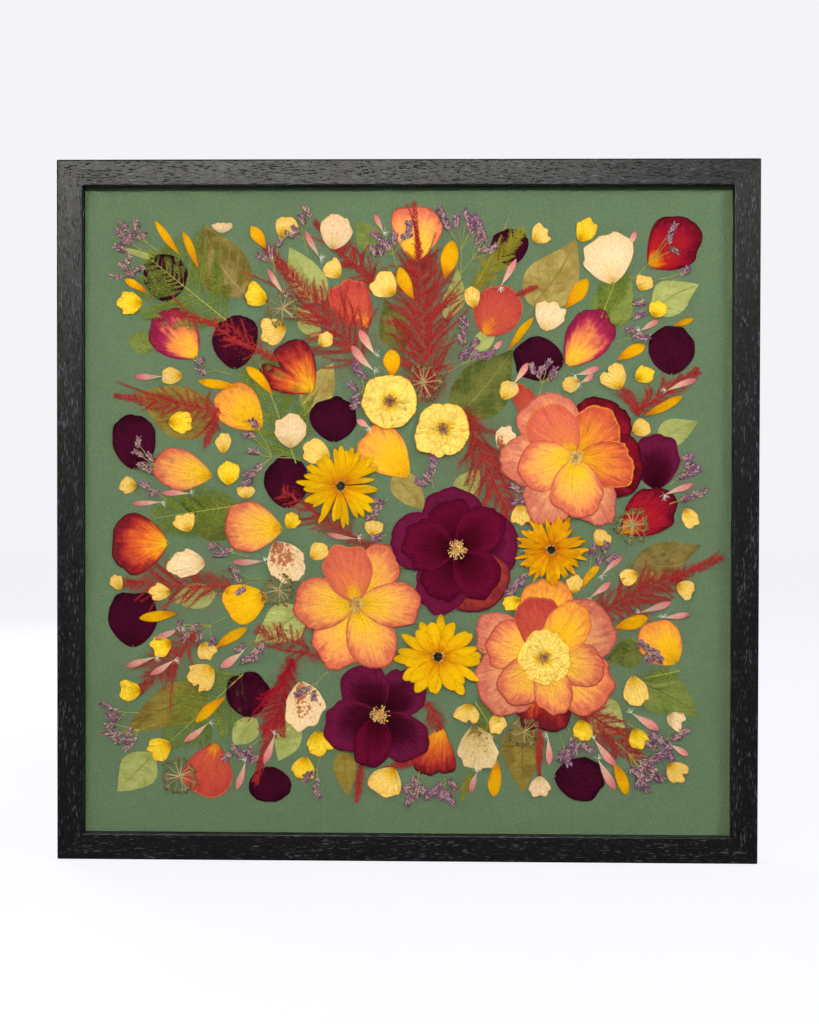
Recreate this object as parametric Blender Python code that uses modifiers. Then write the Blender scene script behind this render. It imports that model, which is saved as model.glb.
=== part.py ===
"""Pressed flower frame: a square black box frame, glazed, with pressed petals, leaves and blooms on a green board.

The front faces -Y and the frame stands on z = 0, with the origin under the middle of its depth. Every length is in
metres, except in the tables of pressed pieces, which give millimetres from the middle of the board.
"""

import math
from typing import NamedTuple

import bmesh
import bpy
from mathutils import Matrix

# The moulding. Its rails are mitred, and each has a rebate behind the front lip.
OUTER = 0.528
RAIL_DEPTH = 0.030
RAIL_FACE = 0.020
REBATE = 0.006
LIP = 0.004
FRONT_ROUND = 0.0012
BACK_CHAMFER = 0.0008
ROUND_STEPS = 3

# What the rebate holds, in order from the front. Touching pieces keep GAP between them.
GAP = 0.0003
PACK_SIZE = 0.498
GLASS_THICK = 0.002
SLIP_THICK = 0.0036
SLIP_WIDTH = 0.0047
BOARD_THICK = 0.002
BACKING_THICK = 0.0025
TAPE_THICK = 0.0003
TAPE_WIDTH = 0.020
TAPE_SPAN = 0.4994

# What the back carries.
BUMPER_RADIUS = 0.0045
BUMPER_THICK = 0.002
BUMPER_OUT = 0.240
HANGER_LENGTH = 0.044
HANGER_HEIGHT = 0.009
HANGER_THICK = 0.001
HANGER_HOLE = 0.0011
HANGER_HOLE_OUT = 0.019
HANGER_TEETH = 10
TOOTH_PITCH = 0.0026
TOOTH_DEPTH = 0.0016
NAIL_SHANK = 0.0007
NAIL_HEAD = 0.0017
NAIL_HEAD_THICK = 0.0006
TURN_STEPS = 20

# The pressed pieces lie in layers in front of the board.
PRESSED_THICK = 0.0004
LAYER_PITCH = 0.0007
BLADE_STEPS = 11
BLOOM_STEPS = 48
RAYS = 17
ROSETTE_LOBES = 6
MM = 0.001

TOTAL_DEPTH = RAIL_DEPTH + GAP + BUMPER_THICK
FRONT_Y = -TOTAL_DEPTH / 2
BACK_Y = FRONT_Y + RAIL_DEPTH
MIDDLE_Z = OUTER / 2
BACK_WIDTH = RAIL_FACE - REBATE
GLASS_Y = FRONT_Y + LIP + GAP
SLIP_Y = GLASS_Y + GLASS_THICK + GAP
BOARD_Y = SLIP_Y + SLIP_THICK + GAP
BACKING_Y = BOARD_Y + BOARD_THICK + GAP
TAPE_Y = BACKING_Y + BACKING_THICK + GAP


class Blade(NamedTuple):
    """A pressed petal or leaf: where it was attached, its tip, its breadth, and the layer it lies in."""

    name: str
    base: tuple
    tip: tuple
    breadth: float
    finish: str
    layer: int


class Bloom(NamedTuple):
    """Pressed petals laid round one middle. Each petal is its direction in degrees, its reach and half its breadth."""

    name: str
    middle: tuple
    finish: str
    layer: int
    petals: tuple


# A leaf is widest nearer its stalk, and a petal nearer its free end.
LEAF_BELLY, LEAF_FULLNESS = 0.75, 0.95
PETAL_BELLY, PETAL_FULLNESS = 1.3, 0.5

LEAVES = (
    Blade("leaf_brown_top_left", (-124, 162), (-158, 217), 40, "leaf_olive", 0),
    Blade("leaf_pale_top", (-64, 157), (-90, 199), 27, "leaf_pale", 0),
    Blade("leaf_tan_top_right", (94, 153), (128, 205), 41, "leaf_olive", 0),
    Blade("leaf_pale_right", (184, 152), (219, 172), 27, "leaf_pale", 0),
    Blade("leaf_striped_middle", (36, 70), (80, 122), 42, "leaf_olive", 0),
    Blade("leaf_olive_left", (-145, 64), (-206, 89), 40, "leaf_olive", 0),
    Blade("leaf_dark_left", (-126, -16), (-172, 8), 34, "leaf_olive", 0),
    Blade("leaf_brown_right", (169, -52), (222, -23), 30, "leaf_olive", 0),
    Blade("leaf_olive_low_left", (-152, -137), (-215, -167), 35, "leaf_olive", 0),
    Blade("leaf_pale_low_left", (-192, -186), (-220, -214), 28, "leaf_pale", 0),
    Blade("leaf_green_low_right", (176, -127), (220, -152), 33, "leaf_pale", 0),
    Blade("leaf_brown_bottom", (88, -161), (88, -214), 32, "leaf_olive", 0),
)
PETALS = (
    Blade("petal_burgundy_top_left", (-183, 158), (-183, 194), 34, "petal_burgundy", 1),
    Blade("petal_burgundy_upper_left", (-131, 107), (-130, 148), 35, "petal_burgundy", 1),
    Blade("petal_burgundy_top_right", (78, 185), (76, 213), 29, "petal_burgundy", 1),
    Blade("petal_burgundy_upper_right", (118, 113), (80, 117), 34, "petal_burgundy", 1),
    Blade("petal_burgundy_right", (199, 103), (199, 140), 35, "petal_burgundy", 1),
    Blade("petal_burgundy_left", (-207, 31), (-207, 73), 33, "petal_burgundy", 1),
    Blade("petal_burgundy_middle", (-56, 52), (-56, 87), 36, "petal_burgundy", 1),
    Blade("petal_burgundy_far_right", (188, 17), (188, 59), 36, "petal_burgundy", 0),
    Blade("petal_burgundy_low_left", (-208, -104), (-208, -62), 38, "petal_burgundy", 1),
    Blade("petal_burgundy_lower_left", (-120, -157), (-120, -122), 34, "petal_burgundy", 1),
    Blade("petal_burgundy_bottom_right", (112, -200), (150, -204), 34, "petal_burgundy", 1),
    Blade("petal_peach_top", (6, 187), (8, 230), 39, "petal_peach", 1),
    Blade("petal_crimson_top_right", (182, 185), (217, 215), 41, "petal_crimson", 1),
    Blade("petal_magenta_upper_left", (-160, 116), (-190, 149), 38, "petal_crimson", 1),
    Blade("petal_magenta_upper_right", (121, 110), (151, 150), 36, "petal_crimson", 2),
    Blade("petal_flame_left", (-181, -25), (-224, -26), 48, "petal_crimson", 1),
    Blade("petal_coral_low_left", (-145, -176), (-156, -218), 40, "petal_peach", 1),
)
BLOOMS = (
    Bloom(
        "bloom_peach_right",
        (127, 41),
        "petal_peach",
        2,
        (
            (131, 49, 20),
            (56, 48, 18),
            (-10, 46, 20),
            (-88, 44, 20),
            (193, 43, 20),
            (110, 54, 20),
            (180, 56, 20),
            (237, 58, 17),
            (54, 57, 18),
            (-11, 55, 22),
            (-61, 57, 16),
        ),
    ),
    Bloom(
        "bloom_peach_left",
        (-38, -70),
        "petal_peach",
        2,
        ((108, 45, 19), (53, 50, 17), (177, 49, 20), (-4, 50, 18), (244, 54, 20), (-62, 55, 18)),
    ),
    Bloom(
        "bloom_peach_low_right",
        (104, -110),
        "petal_peach",
        2,
        (
            (99, 47, 18),
            (49, 48, 17),
            (86, 60, 22),
            (149, 49, 17),
            (178, 45, 16),
            (154, 58, 18),
            (32, 60, 20),
            (-2, 54, 22),
            (243, 43, 19),
            (220, 60, 22),
            (-72, 46, 16),
            (-89, 58, 22),
            (-40, 60, 22),
        ),
    ),
    Bloom(
        "bloom_burgundy_middle",
        (38, -29),
        "petal_burgundy",
        1,
        (
            (96, 44, 18),
            (39, 40, 17),
            (-58, 41, 17),
            (232, 42, 17),
            (170, 38, 19),
            (13, 48, 23),
            (40, 50, 18),
            (-66, 52, 20),
            (244, 54, 18),
            (179, 50, 28),
        ),
    ),
    Bloom(
        "bloom_burgundy_low",
        (-20, -154),
        "petal_burgundy",
        1,
        ((115, 40, 20), (200, 44, 22), (257, 43, 16), (-48, 46, 19), (42, 44, 20)),
    ),
)
# Round flowers pressed whole: name, middle, radius, finish, layer.
CALENDULAS = (
    ("calendula_upper", (-50, 19), 33, "calendula_orange", 3),
    ("calendula_low", (24, -110), 35, "calendula_orange", 3),
    ("calendula_right", (109, -29), 27, "calendula_orange", 3),
)
ROSETTES = (
    ("rosette_upper", (-13, 83), 20.5, "petal_cream", 3),
    ("rosette_second", (27, 62), 21, "petal_cream", 3),
    ("rosette_low", (104, -110), 20, "petal_cream", 3),
)

# Each finish is its colour, roughness, metallic and transmission.
FINISHES = {
    "frame_wood": ((0.018, 0.017, 0.018), 0.55, 0.0, 0.0),
    "glazing": ((0.95, 0.97, 0.96), 0.02, 0.0, 1.0),
    "spacer_slip": ((0.015, 0.015, 0.015), 0.7, 0.0, 0.0),
    "green_board": ((0.11, 0.18, 0.10), 0.9, 0.0, 0.0),
    "backing_board": ((0.30, 0.20, 0.12), 0.8, 0.0, 0.0),
    "gummed_tape": ((0.42, 0.29, 0.16), 0.7, 0.0, 0.0),
    "hanger_steel": ((0.60, 0.58, 0.52), 0.35, 1.0, 0.0),
    "bumper_rubber": ((0.05, 0.05, 0.05), 0.8, 0.0, 0.0),
    "petal_burgundy": ((0.06, 0.004, 0.02), 0.7, 0.0, 0.0),
    "petal_peach": ((0.80, 0.28, 0.10), 0.7, 0.0, 0.0),
    "petal_crimson": ((0.45, 0.03, 0.04), 0.7, 0.0, 0.0),
    "petal_cream": ((0.90, 0.68, 0.25), 0.7, 0.0, 0.0),
    "calendula_orange": ((0.95, 0.42, 0.01), 0.7, 0.0, 0.0),
    "leaf_olive": ((0.16, 0.14, 0.04), 0.7, 0.0, 0.0),
    "leaf_pale": ((0.28, 0.32, 0.09), 0.7, 0.0, 0.0),
}


def clear_scene():
    """Remove every object that the file opened with."""
    for obj in list(bpy.data.objects):
        bpy.data.objects.remove(obj, do_unlink=True)


def make_finishes():
    """Make one Principled material for each finish, and return them by name."""
    made = {}
    for name, (colour, roughness, metallic, transmission) in FINISHES.items():
        material = bpy.data.materials.new(name)
        material.use_nodes = True
        shader = material.node_tree.nodes["Principled BSDF"]
        shader.inputs["Base Color"].default_value = (*colour, 1.0)
        shader.inputs["Roughness"].default_value = roughness
        shader.inputs["Metallic"].default_value = metallic
        shader.inputs["Transmission Weight"].default_value = transmission
        material.diffuse_color = (*colour, 1.0)
        made[name] = material
    return made


class Bench:
    """Places finished pieces in the frame's own collection."""

    def __init__(self):
        self.finishes = make_finishes()
        self.home = bpy.data.collections.new("pressed_flower_frame")
        bpy.context.scene.collection.children.link(self.home)

    def place(self, name, data, finish, matrix=None):
        """Link an object for the mesh or curve, with its finish."""
        if not data.materials:
            data.materials.append(self.finishes[finish])
        obj = bpy.data.objects.new(name, data)
        obj.matrix_world = matrix or Matrix.Identity(4)
        self.home.objects.link(obj)
        return obj

    def slab(self, name, low, high, finish):
        """A square-edged box between two corners."""
        bm = bmesh.new()
        bmesh.ops.create_cube(bm, size=1.0)
        size = [b - a for a, b in zip(low, high)]
        middle = [(a + b) / 2 for a, b in zip(low, high)]
        bmesh.ops.scale(bm, vec=size, verts=bm.verts)
        mesh = bpy.data.meshes.new(name)
        bm.to_mesh(mesh)
        bm.free()
        return self.place(name, mesh, finish, Matrix.Translation(middle))

    def flat(self, name, outlines, front_y, thickness, finish, middle_z=MIDDLE_Z):
        """A sheet cut to closed outlines in X and Z: the first is its edge and the others are holes."""
        curve = flat_curve(name, outlines, thickness)
        turned = Matrix.Rotation(math.radians(90), 4, "X")
        return self.place(name, curve, finish, Matrix.Translation((0, front_y + thickness / 2, middle_z)) @ turned)

    def turned(self, name, profile, finish, at):
        """A piece turned from a profile of (radius, height) that runs from its outer end down, with its axis along Y."""
        mesh = bpy.data.meshes.new(name)
        edges = [(k, k + 1) for k in range(len(profile) - 1)]
        mesh.from_pydata([(r, 0, h) for r, h in profile], edges, [])
        obj = self.place(name, mesh, finish, Matrix.Translation(at) @ Matrix.Rotation(math.radians(-90), 4, "X"))
        screw = obj.modifiers.new("turn", "SCREW")
        screw.steps = TURN_STEPS
        screw.render_steps = TURN_STEPS
        screw.use_merge_vertices = True
        screw.merge_threshold = 0.00001
        return obj


def flat_curve(name, outlines, thickness):
    """A filled 2D curve of the outlines, with the thickness along its own Z."""
    curve = bpy.data.curves.new(name, "CURVE")
    curve.dimensions = "2D"
    curve.fill_mode = "BOTH"
    curve.extrude = thickness / 2
    for outline in outlines:
        spline = curve.splines.new("POLY")
        spline.points.add(len(outline) - 1)
        for point, (x, y) in zip(spline.points, outline):
            point.co = (x, y, 0, 1)
        spline.use_cyclic_u = True
    return curve


def corner(x, y, radius, start):
    """Points of a quarter round about (x, y), from the start angle in degrees, turning clockwise."""
    turns = [math.radians(start - 90 * k / ROUND_STEPS) for k in range(ROUND_STEPS + 1)]
    return [(x + radius * math.cos(a), y + radius * math.sin(a)) for a in turns]


def rail_profile():
    """The rail's section: how far in from the outer face, and how far behind the front."""
    return [
        *corner(FRONT_ROUND, FRONT_ROUND, FRONT_ROUND, 270),
        (0, RAIL_DEPTH - BACK_CHAMFER),
        (BACK_CHAMFER, RAIL_DEPTH),
        (BACK_WIDTH, RAIL_DEPTH),
        (BACK_WIDTH, LIP),
        (RAIL_FACE, LIP),
        *corner(RAIL_FACE - FRONT_ROUND, FRONT_ROUND, FRONT_ROUND, 0),
    ]


def rail_mesh():
    """The bottom rail's mesh: the section run along X and cut to a mitre at each end."""
    guide = bpy.data.objects.new("rail_guide", flat_curve("rail_guide", [rail_profile()], OUTER))
    bpy.context.scene.collection.objects.link(guide)
    graph = bpy.context.evaluated_depsgraph_get()
    mesh = bpy.data.meshes.new_from_object(guide.evaluated_get(graph))
    bpy.data.objects.remove(guide)
    bm = bmesh.new()
    bm.from_mesh(mesh)
    bmesh.ops.remove_doubles(bm, verts=bm.verts, dist=0.00001)
    # The section's own X is up from the frame's foot, its Y is back, and its length lies along the frame's X.
    lay = Matrix(((0, 0, -1, 0), (0, 1, 0, FRONT_Y), (1, 0, 0, 0), (0, 0, 0, 1)))
    bmesh.ops.transform(bm, matrix=lay, verts=bm.verts)
    for side in (-1, 1):
        foot = side * (OUTER / 2 - GAP / 2 * math.sqrt(2))
        cut = bmesh.ops.bisect_plane(
            bm,
            geom=[*bm.verts, *bm.edges, *bm.faces],
            plane_co=(foot, 0, 0),
            plane_no=(side, 0, 1),
            clear_outer=True,
        )
        rim = [piece for piece in cut["geom_cut"] if isinstance(piece, bmesh.types.BMEdge)]
        bmesh.ops.edgeloop_fill(bm, edges=rim)
    bmesh.ops.recalc_face_normals(bm, faces=bm.faces)
    bm.to_mesh(mesh)
    bm.free()
    mesh.name = "rail"
    return mesh


def add_rails(bench):
    """Four copies of one rail, turned about the middle of the frame."""
    mesh = rail_mesh()
    middle = Matrix.Translation((0, 0, MIDDLE_Z))
    for quarter, side in enumerate(("bottom", "left", "top", "right")):
        turn = Matrix.Rotation(math.radians(90 * quarter), 4, "Y")
        bench.place(f"rail_{side}", mesh, "frame_wood", middle @ turn @ middle.inverted())


def square_slab(bench, name, front_y, thickness, finish):
    """A square sheet of the size that the rebate takes."""
    half = PACK_SIZE / 2
    low = (-half, front_y, MIDDLE_Z - half)
    high = (half, front_y + thickness, MIDDLE_Z + half)
    bench.slab(name, low, high, finish)


def add_strips(bench, name, span, width, front_y, thickness, finish):
    """Four strips round a square: the top and bottom ones run the full span, and the sides fit between them."""
    out = span / 2
    inner = out - width
    short = inner - GAP
    for side, low_z, high_z in (("bottom", -out, -inner), ("top", inner, out)):
        low = (-out, front_y, MIDDLE_Z + low_z)
        high = (out, front_y + thickness, MIDDLE_Z + high_z)
        bench.slab(f"{name}_{side}", low, high, finish)
    for side, low_x, high_x in (("left", -out, -inner), ("right", inner, out)):
        low = (low_x, front_y, MIDDLE_Z - short)
        high = (high_x, front_y + thickness, MIDDLE_Z + short)
        bench.slab(f"{name}_{side}", low, high, finish)


def add_package(bench):
    """Glass, slips, board, backing and tape, from the front to the back."""
    square_slab(bench, "glass", GLASS_Y, GLASS_THICK, "glazing")
    add_strips(bench, "slip", PACK_SIZE, SLIP_WIDTH, SLIP_Y, SLIP_THICK, "spacer_slip")
    square_slab(bench, "mount_board", BOARD_Y, BOARD_THICK, "green_board")
    square_slab(bench, "backing_board", BACKING_Y, BACKING_THICK, "backing_board")
    add_strips(bench, "tape", TAPE_SPAN, TAPE_WIDTH, TAPE_Y, TAPE_THICK, "gummed_tape")


def hanger_outline():
    """The hanger plate's edge: a strip whose lower edge is toothed between its two nail holes."""
    half = HANGER_LENGTH / 2
    rise = HANGER_HEIGHT / 2
    teeth_out = HANGER_TEETH * TOOTH_PITCH / 2
    points = [(half, rise), (-half, rise), (-half, -rise)]
    for k in range(HANGER_TEETH):
        left = -teeth_out + k * TOOTH_PITCH
        points.append((left, -rise))
        points.append((left + TOOTH_PITCH / 2, -rise + TOOTH_DEPTH))
    points += [(teeth_out, -rise), (half, -rise)]
    return points


def ring(x, y, radius, steps):
    """Points of a circle."""
    turns = [math.tau * k / steps for k in range(steps)]
    return [(x + radius * math.cos(a), y + radius * math.sin(a)) for a in turns]


def add_back_fittings(bench):
    """The toothed hanger and its two nails on the top rail, and a bumper at each lower corner."""
    rail_z = OUTER - BACK_WIDTH / 2
    holes = [ring(side * HANGER_HOLE_OUT, 0, HANGER_HOLE, 12) for side in (-1, 1)]
    plate_y = BACK_Y + GAP
    bench.flat("hanger_plate", [hanger_outline(), *holes], plate_y, HANGER_THICK, "hanger_steel", rail_z)
    under_head = HANGER_THICK + GAP
    nail_top = under_head + NAIL_HEAD_THICK
    nail = [
        (0, nail_top),
        (NAIL_HEAD / 2, nail_top),
        (NAIL_HEAD, nail_top - NAIL_HEAD_THICK / 2),
        (NAIL_HEAD, under_head),
        (NAIL_SHANK, under_head),
        (NAIL_SHANK, 0),
        (0, 0),
    ]
    bumper = [
        (0, BUMPER_THICK),
        (BUMPER_RADIUS * 0.7, BUMPER_THICK),
        (BUMPER_RADIUS * 0.92, BUMPER_THICK * 0.8),
        (BUMPER_RADIUS, BUMPER_THICK * 0.45),
        (BUMPER_RADIUS, 0),
        (0, 0),
    ]
    for side, out in (("left", -1), ("right", 1)):
        bench.turned(f"nail_{side}", nail, "hanger_steel", (out * HANGER_HOLE_OUT, plate_y, rail_z))
        foot = (out * BUMPER_OUT, plate_y, BACK_WIDTH / 2)
        bench.turned(f"bumper_{side}", bumper, "bumper_rubber", foot)


def layer_y(layer):
    """The front of a pressed piece that lies in this layer, counted from the board."""
    return BOARD_Y - GAP - layer * LAYER_PITCH - PRESSED_THICK


def blade_outline(blade, belly, fullness):
    """The edge of a petal or leaf, down one side from its base to its tip and back up the other."""
    run_x = (blade.tip[0] - blade.base[0]) * MM
    run_z = (blade.tip[1] - blade.base[1]) * MM
    length = math.hypot(run_x, run_z)
    side_x = -run_z / length
    side_z = run_x / length
    along = [(1 - math.cos(math.pi * k / BLADE_STEPS)) / 2 for k in range(BLADE_STEPS + 1)]
    half = [blade.breadth * MM / 2 * math.sin(math.pi * s**belly) ** fullness for s in along[1:-1]]
    out = [(0, 0), *zip(along[1:-1], half), (1, 0)]
    back = [(s, -w) for s, w in reversed(out[1:-1])]
    base_x = blade.base[0] * MM
    base_z = blade.base[1] * MM
    return [(base_x + s * run_x + w * side_x, base_z + s * run_z + w * side_z) for s, w in out + back]


def bloom_reach(petals, angle):
    """How far the outermost petal reaches in this direction. Each petal is an oval from the middle to its tip."""
    reach = 0.0
    for direction, length, half_breadth in petals:
        off = angle - math.radians(direction)
        if math.cos(off) <= 0:
            continue
        slim = (length / 2 / half_breadth) ** 2
        reach = max(reach, length * math.cos(off) / (math.cos(off) ** 2 + slim * math.sin(off) ** 2))
    return reach


def bloom_outline(bloom):
    """The outer edge of all the bloom's petals together."""
    points = []
    for k in range(BLOOM_STEPS):
        angle = math.tau * k / BLOOM_STEPS
        reach = bloom_reach(bloom.petals, angle)
        points.append(((bloom.middle[0] + reach * math.cos(angle)) * MM, (bloom.middle[1] + reach * math.sin(angle)) * MM))
    return points


def lobed_outline(middle, radius, lobes, depth, steps):
    """A circle whose edge runs in and out once for each lobe, by the depth's share of the radius."""
    points = []
    for k in range(steps):
        angle = math.tau * k / steps
        reach = radius * (1 - depth / 2 + depth / 2 * math.cos(lobes * angle))
        points.append(((middle[0] + reach * math.cos(angle)) * MM, (middle[1] + reach * math.sin(angle)) * MM))
    return points


def add_pressed(bench, name, outline, layer, finish):
    """Cut one pressed piece to its outline and lay it in its layer."""
    bench.flat(name, [outline], layer_y(layer), PRESSED_THICK, finish)


def add_specimens(bench):
    """The larger pressed pieces, each a solid of its own."""
    for leaf in LEAVES:
        add_pressed(bench, leaf.name, blade_outline(leaf, LEAF_BELLY, LEAF_FULLNESS), leaf.layer, leaf.finish)
    for petal in PETALS:
        add_pressed(bench, petal.name, blade_outline(petal, PETAL_BELLY, PETAL_FULLNESS), petal.layer, petal.finish)
    for bloom in BLOOMS:
        add_pressed(bench, bloom.name, bloom_outline(bloom), bloom.layer, bloom.finish)
    for name, middle, radius, finish, layer in CALENDULAS:
        add_pressed(bench, name, lobed_outline(middle, radius, RAYS, 0.28, RAYS * 4), layer, finish)
    for name, middle, radius, finish, layer in ROSETTES:
        add_pressed(bench, name, lobed_outline(middle, radius, ROSETTE_LOBES, 0.1, ROSETTE_LOBES * 6), layer, finish)


def main():
    """Build the frame, what it holds and what hangs it."""
    clear_scene()
    bench = Bench()
    add_rails(bench)
    add_package(bench)
    add_back_fittings(bench)
    add_specimens(bench)


main()
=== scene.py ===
"""The looks of a pressed flower frame: stained wood, glass, and petals and leaves on a green board."""

import logging
import math
from dataclasses import dataclass
from enum import Enum

import bpy
import numpy as np
from mathutils import Matrix, Vector


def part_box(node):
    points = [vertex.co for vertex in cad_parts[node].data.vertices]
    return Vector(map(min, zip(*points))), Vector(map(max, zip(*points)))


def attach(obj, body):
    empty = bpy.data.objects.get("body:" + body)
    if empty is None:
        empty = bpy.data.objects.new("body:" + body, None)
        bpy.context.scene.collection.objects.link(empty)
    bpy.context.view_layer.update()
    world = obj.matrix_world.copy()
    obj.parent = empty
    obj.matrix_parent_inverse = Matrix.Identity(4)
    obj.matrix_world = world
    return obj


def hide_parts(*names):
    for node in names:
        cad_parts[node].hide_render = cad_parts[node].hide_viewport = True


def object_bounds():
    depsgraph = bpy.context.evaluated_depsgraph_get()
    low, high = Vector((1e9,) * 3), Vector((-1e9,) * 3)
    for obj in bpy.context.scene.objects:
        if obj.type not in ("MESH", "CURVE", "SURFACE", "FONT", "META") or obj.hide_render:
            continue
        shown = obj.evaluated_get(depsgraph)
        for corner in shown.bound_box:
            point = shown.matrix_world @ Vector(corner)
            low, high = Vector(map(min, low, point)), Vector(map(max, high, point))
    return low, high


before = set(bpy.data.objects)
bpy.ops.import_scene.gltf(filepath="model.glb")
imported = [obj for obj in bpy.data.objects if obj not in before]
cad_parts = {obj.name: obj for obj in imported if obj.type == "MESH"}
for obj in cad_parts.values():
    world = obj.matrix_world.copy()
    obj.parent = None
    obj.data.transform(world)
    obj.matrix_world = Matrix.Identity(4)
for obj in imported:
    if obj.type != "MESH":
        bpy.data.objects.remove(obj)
CAD_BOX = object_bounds()
LOG = logging.getLogger("pressed_flower_frame")

MM = 0.001
BODY = "root"
PRESS_MAP = "press"
PICK = "pick"
SIDES = ("top", "bottom", "left", "right")

Socket = bpy.types.NodeSocket
Chance = np.random.Generator
Surface = tuple[np.ndarray, np.ndarray]

# The studio lights the frame's front this much more brightly than the tones below were mixed for.
STUDIO_GAIN = 1.1

# The two hues of the lamps.
COOL = (0.90, 0.96, 1.0)
WARM = (1.0, 0.96, 0.90)

# The board's front, its middle, and the frame's front, all read from the frame.
BOARD_LOW, BOARD_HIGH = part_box("mount_board")
BOARD_Y = BOARD_LOW.y
MIDDLE_X = (BOARD_LOW.x + BOARD_HIGH.x) / 2
MIDDLE_Z = (BOARD_LOW.z + BOARD_HIGH.z) / 2
FRONT_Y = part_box("rail_top")[0].y


def ink(red: int, green: int, blue: int) -> tuple[float, float, float]:
    """Turn a mixed colour, 0 to 255, into the linear values that a shader takes in this studio.

    The curve is the standard one from a display's value to linear light.

    Args:
        red: The red share.
        green: The green share.
        blue: The blue share.

    Returns:
        The three linear values.
    """
    shares = (red / 255, green / 255, blue / 255)
    linear = (c / 12.92 if c <= 0.04045 else ((c + 0.055) / 1.055) ** 2.4 for c in shares)
    return tuple(c / STUDIO_GAIN for c in linear)


def mixed(*stops: tuple) -> tuple:
    """Turn rows of a position and a mixed colour into the (position, colour) pairs of a ramp."""
    return tuple((position, ink(*colour)) for position, *colour in stops)


class Lift(Enum):
    """How far above the board each kind of piece lies, in millimetres."""

    LEAF = 0.15
    FROND = 0.45
    PETAL = 0.40
    PLUME = 0.70
    CREAM = 0.95
    RAY = 1.00
    PINK = 1.15
    SPRIG = 1.10
    BLOOM = 1.05
    HEAD = 2.10
    ROSETTE = 2.30


# --- shaders


class Shader:
    """A material with a Principled BSDF, and short calls that add nodes to it."""

    def __init__(self, name: str, roughness: float, gloss: float = 0.08) -> None:
        """Make the material.

        Args:
            name: The material's name.
            roughness: How matt the surface is.
            gloss: How strongly it mirrors, where 0.5 is plain varnish.
        """
        self.material = bpy.data.materials.new(name)
        self.material.use_nodes = True
        self.tree = self.material.node_tree
        self.base = self.tree.nodes["Principled BSDF"]
        self.base.inputs["Roughness"].default_value = roughness
        self.base.inputs["Specular IOR Level"].default_value = gloss

    def node(self, kind: str, links: dict | None = None, **settings) -> bpy.types.Node:
        """Add a node.

        Args:
            kind: The node's type, without ShaderNode in front.
            links: Input name or number to a socket to link, or to a value to set.
            **settings: The node's own properties.

        Returns:
            The new node.
        """
        made = self.tree.nodes.new(f"ShaderNode{kind}")
        for name, value in settings.items():
            setattr(made, name, value)
        for key, value in (links or {}).items():
            self.feed(made.inputs[key], value)
        return made

    def feed(self, socket: Socket, value: object) -> None:
        """Link a socket to an input, or set the input's value.

        Args:
            socket: The input.
            value: A socket, a number or a tuple.
        """
        if isinstance(value, Socket):
            self.tree.links.new(value, socket)
        else:
            socket.default_value = value

    def sums(self, operation: str, *values: object) -> Socket:
        """Add a Math node."""
        return self.node("Math", dict(enumerate(values)), operation=operation).outputs[0]

    def noise(self, vector: object, scale: float, detail: float = 3.0) -> Socket:
        """Add a noise texture."""
        links = {"Vector": vector, "Scale": scale, "Detail": detail, "Roughness": 0.55}
        return self.node("TexNoise", links).outputs["Fac"]

    def place(self) -> Socket:
        """The socket of the point's place in the object."""
        return self.node("TexCoord").outputs["Object"]

    def press(self) -> tuple[Socket, Socket]:
        """Read the place on a petal or leaf.

        Returns:
            The sockets of how far a point is across it and how far along it, both 0 to 1.
        """
        spread = self.node("UVMap", uv_map=PRESS_MAP).outputs["UV"]
        parts = self.node("SeparateXYZ", {0: spread})
        return parts.outputs["X"], parts.outputs["Y"]

    def pick(self) -> Socket:
        """The socket of the number, 0 to 1, that tells one petal or thread from the next."""
        return self.node("Attribute", attribute_name=PICK).outputs["Fac"]

    def shift(self, noise: object, reach: float) -> Socket:
        """The noise less its middle, times its reach."""
        return self.sums("MULTIPLY", self.sums("SUBTRACT", noise, 0.5), reach)

    def ramp(self, factor: object, stops: tuple) -> Socket:
        """Add a colour ramp.

        Args:
            factor: The socket that it reads.
            stops: Its (position, colour) pairs, in order.

        Returns:
            The socket of its colour.
        """
        made = self.node("ValToRGB", {0: factor})
        elements = made.color_ramp.elements
        while len(elements) < len(stops):
            elements.new(0.5)
        for element, (position, colour) in zip(elements, stops):
            element.position = position
            element.color = (*colour, 1.0)
        return made.outputs[0]

    def mask(self, value: object, low: float, high: float, top: float = 1.0) -> Socket:
        """Map a value between low and high to 0 up to top, smoothly."""
        links = {"Value": value, "From Min": low, "From Max": high, "To Max": top}
        return self.node("MapRange", links, interpolation_type="SMOOTHSTEP").outputs["Result"]

    def mix(self, factor: object, first: object, second: object, blend: str = "MIX") -> Socket:
        """Mix two colours.

        Args:
            factor: How much of the second there is.
            first: The first colour.
            second: The second colour.
            blend: The way that they are mixed.

        Returns:
            The socket of the mixed colour.
        """
        made = self.node("Mix", data_type="RGBA", blend_type=blend)
        colours = [(*c, 1.0) if isinstance(c, tuple) and len(c) == 3 else c for c in (first, second)]
        self.feed(made.inputs[0], factor)
        self.feed(made.inputs[6], colours[0])
        self.feed(made.inputs[7], colours[1])
        return made.outputs[2]

    def tone(self, colour: object, low: float, high: float) -> Socket:
        """Brighten or dim a colour by the piece's own pick."""
        value = self.node("MapRange", {"Value": self.pick(), "To Min": low, "To Max": high})
        return self.node("HueSaturation", {"Color": colour, "Value": value.outputs[0]}).outputs[0]

    def stain(self, where: object, colour: object, shade: tuple) -> Socket:
        """The colour, with this shade laid over it where the mask says."""
        return self.mix(where, colour, self.mix(1.0, colour, shade, "MULTIPLY"))

    def aside(self, across: object) -> Socket:
        """How far a point is from the midline, 0 to 1."""
        return self.sums("ABSOLUTE", self.shift(across, 2.0))

    def stretched(self, vector: object, scales: tuple) -> Socket:
        """The place with each axis scaled, so that a noise on it has a grain."""
        return self.node("VectorMath", {0: vector, 1: scales}, operation="MULTIPLY").outputs[0]

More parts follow.
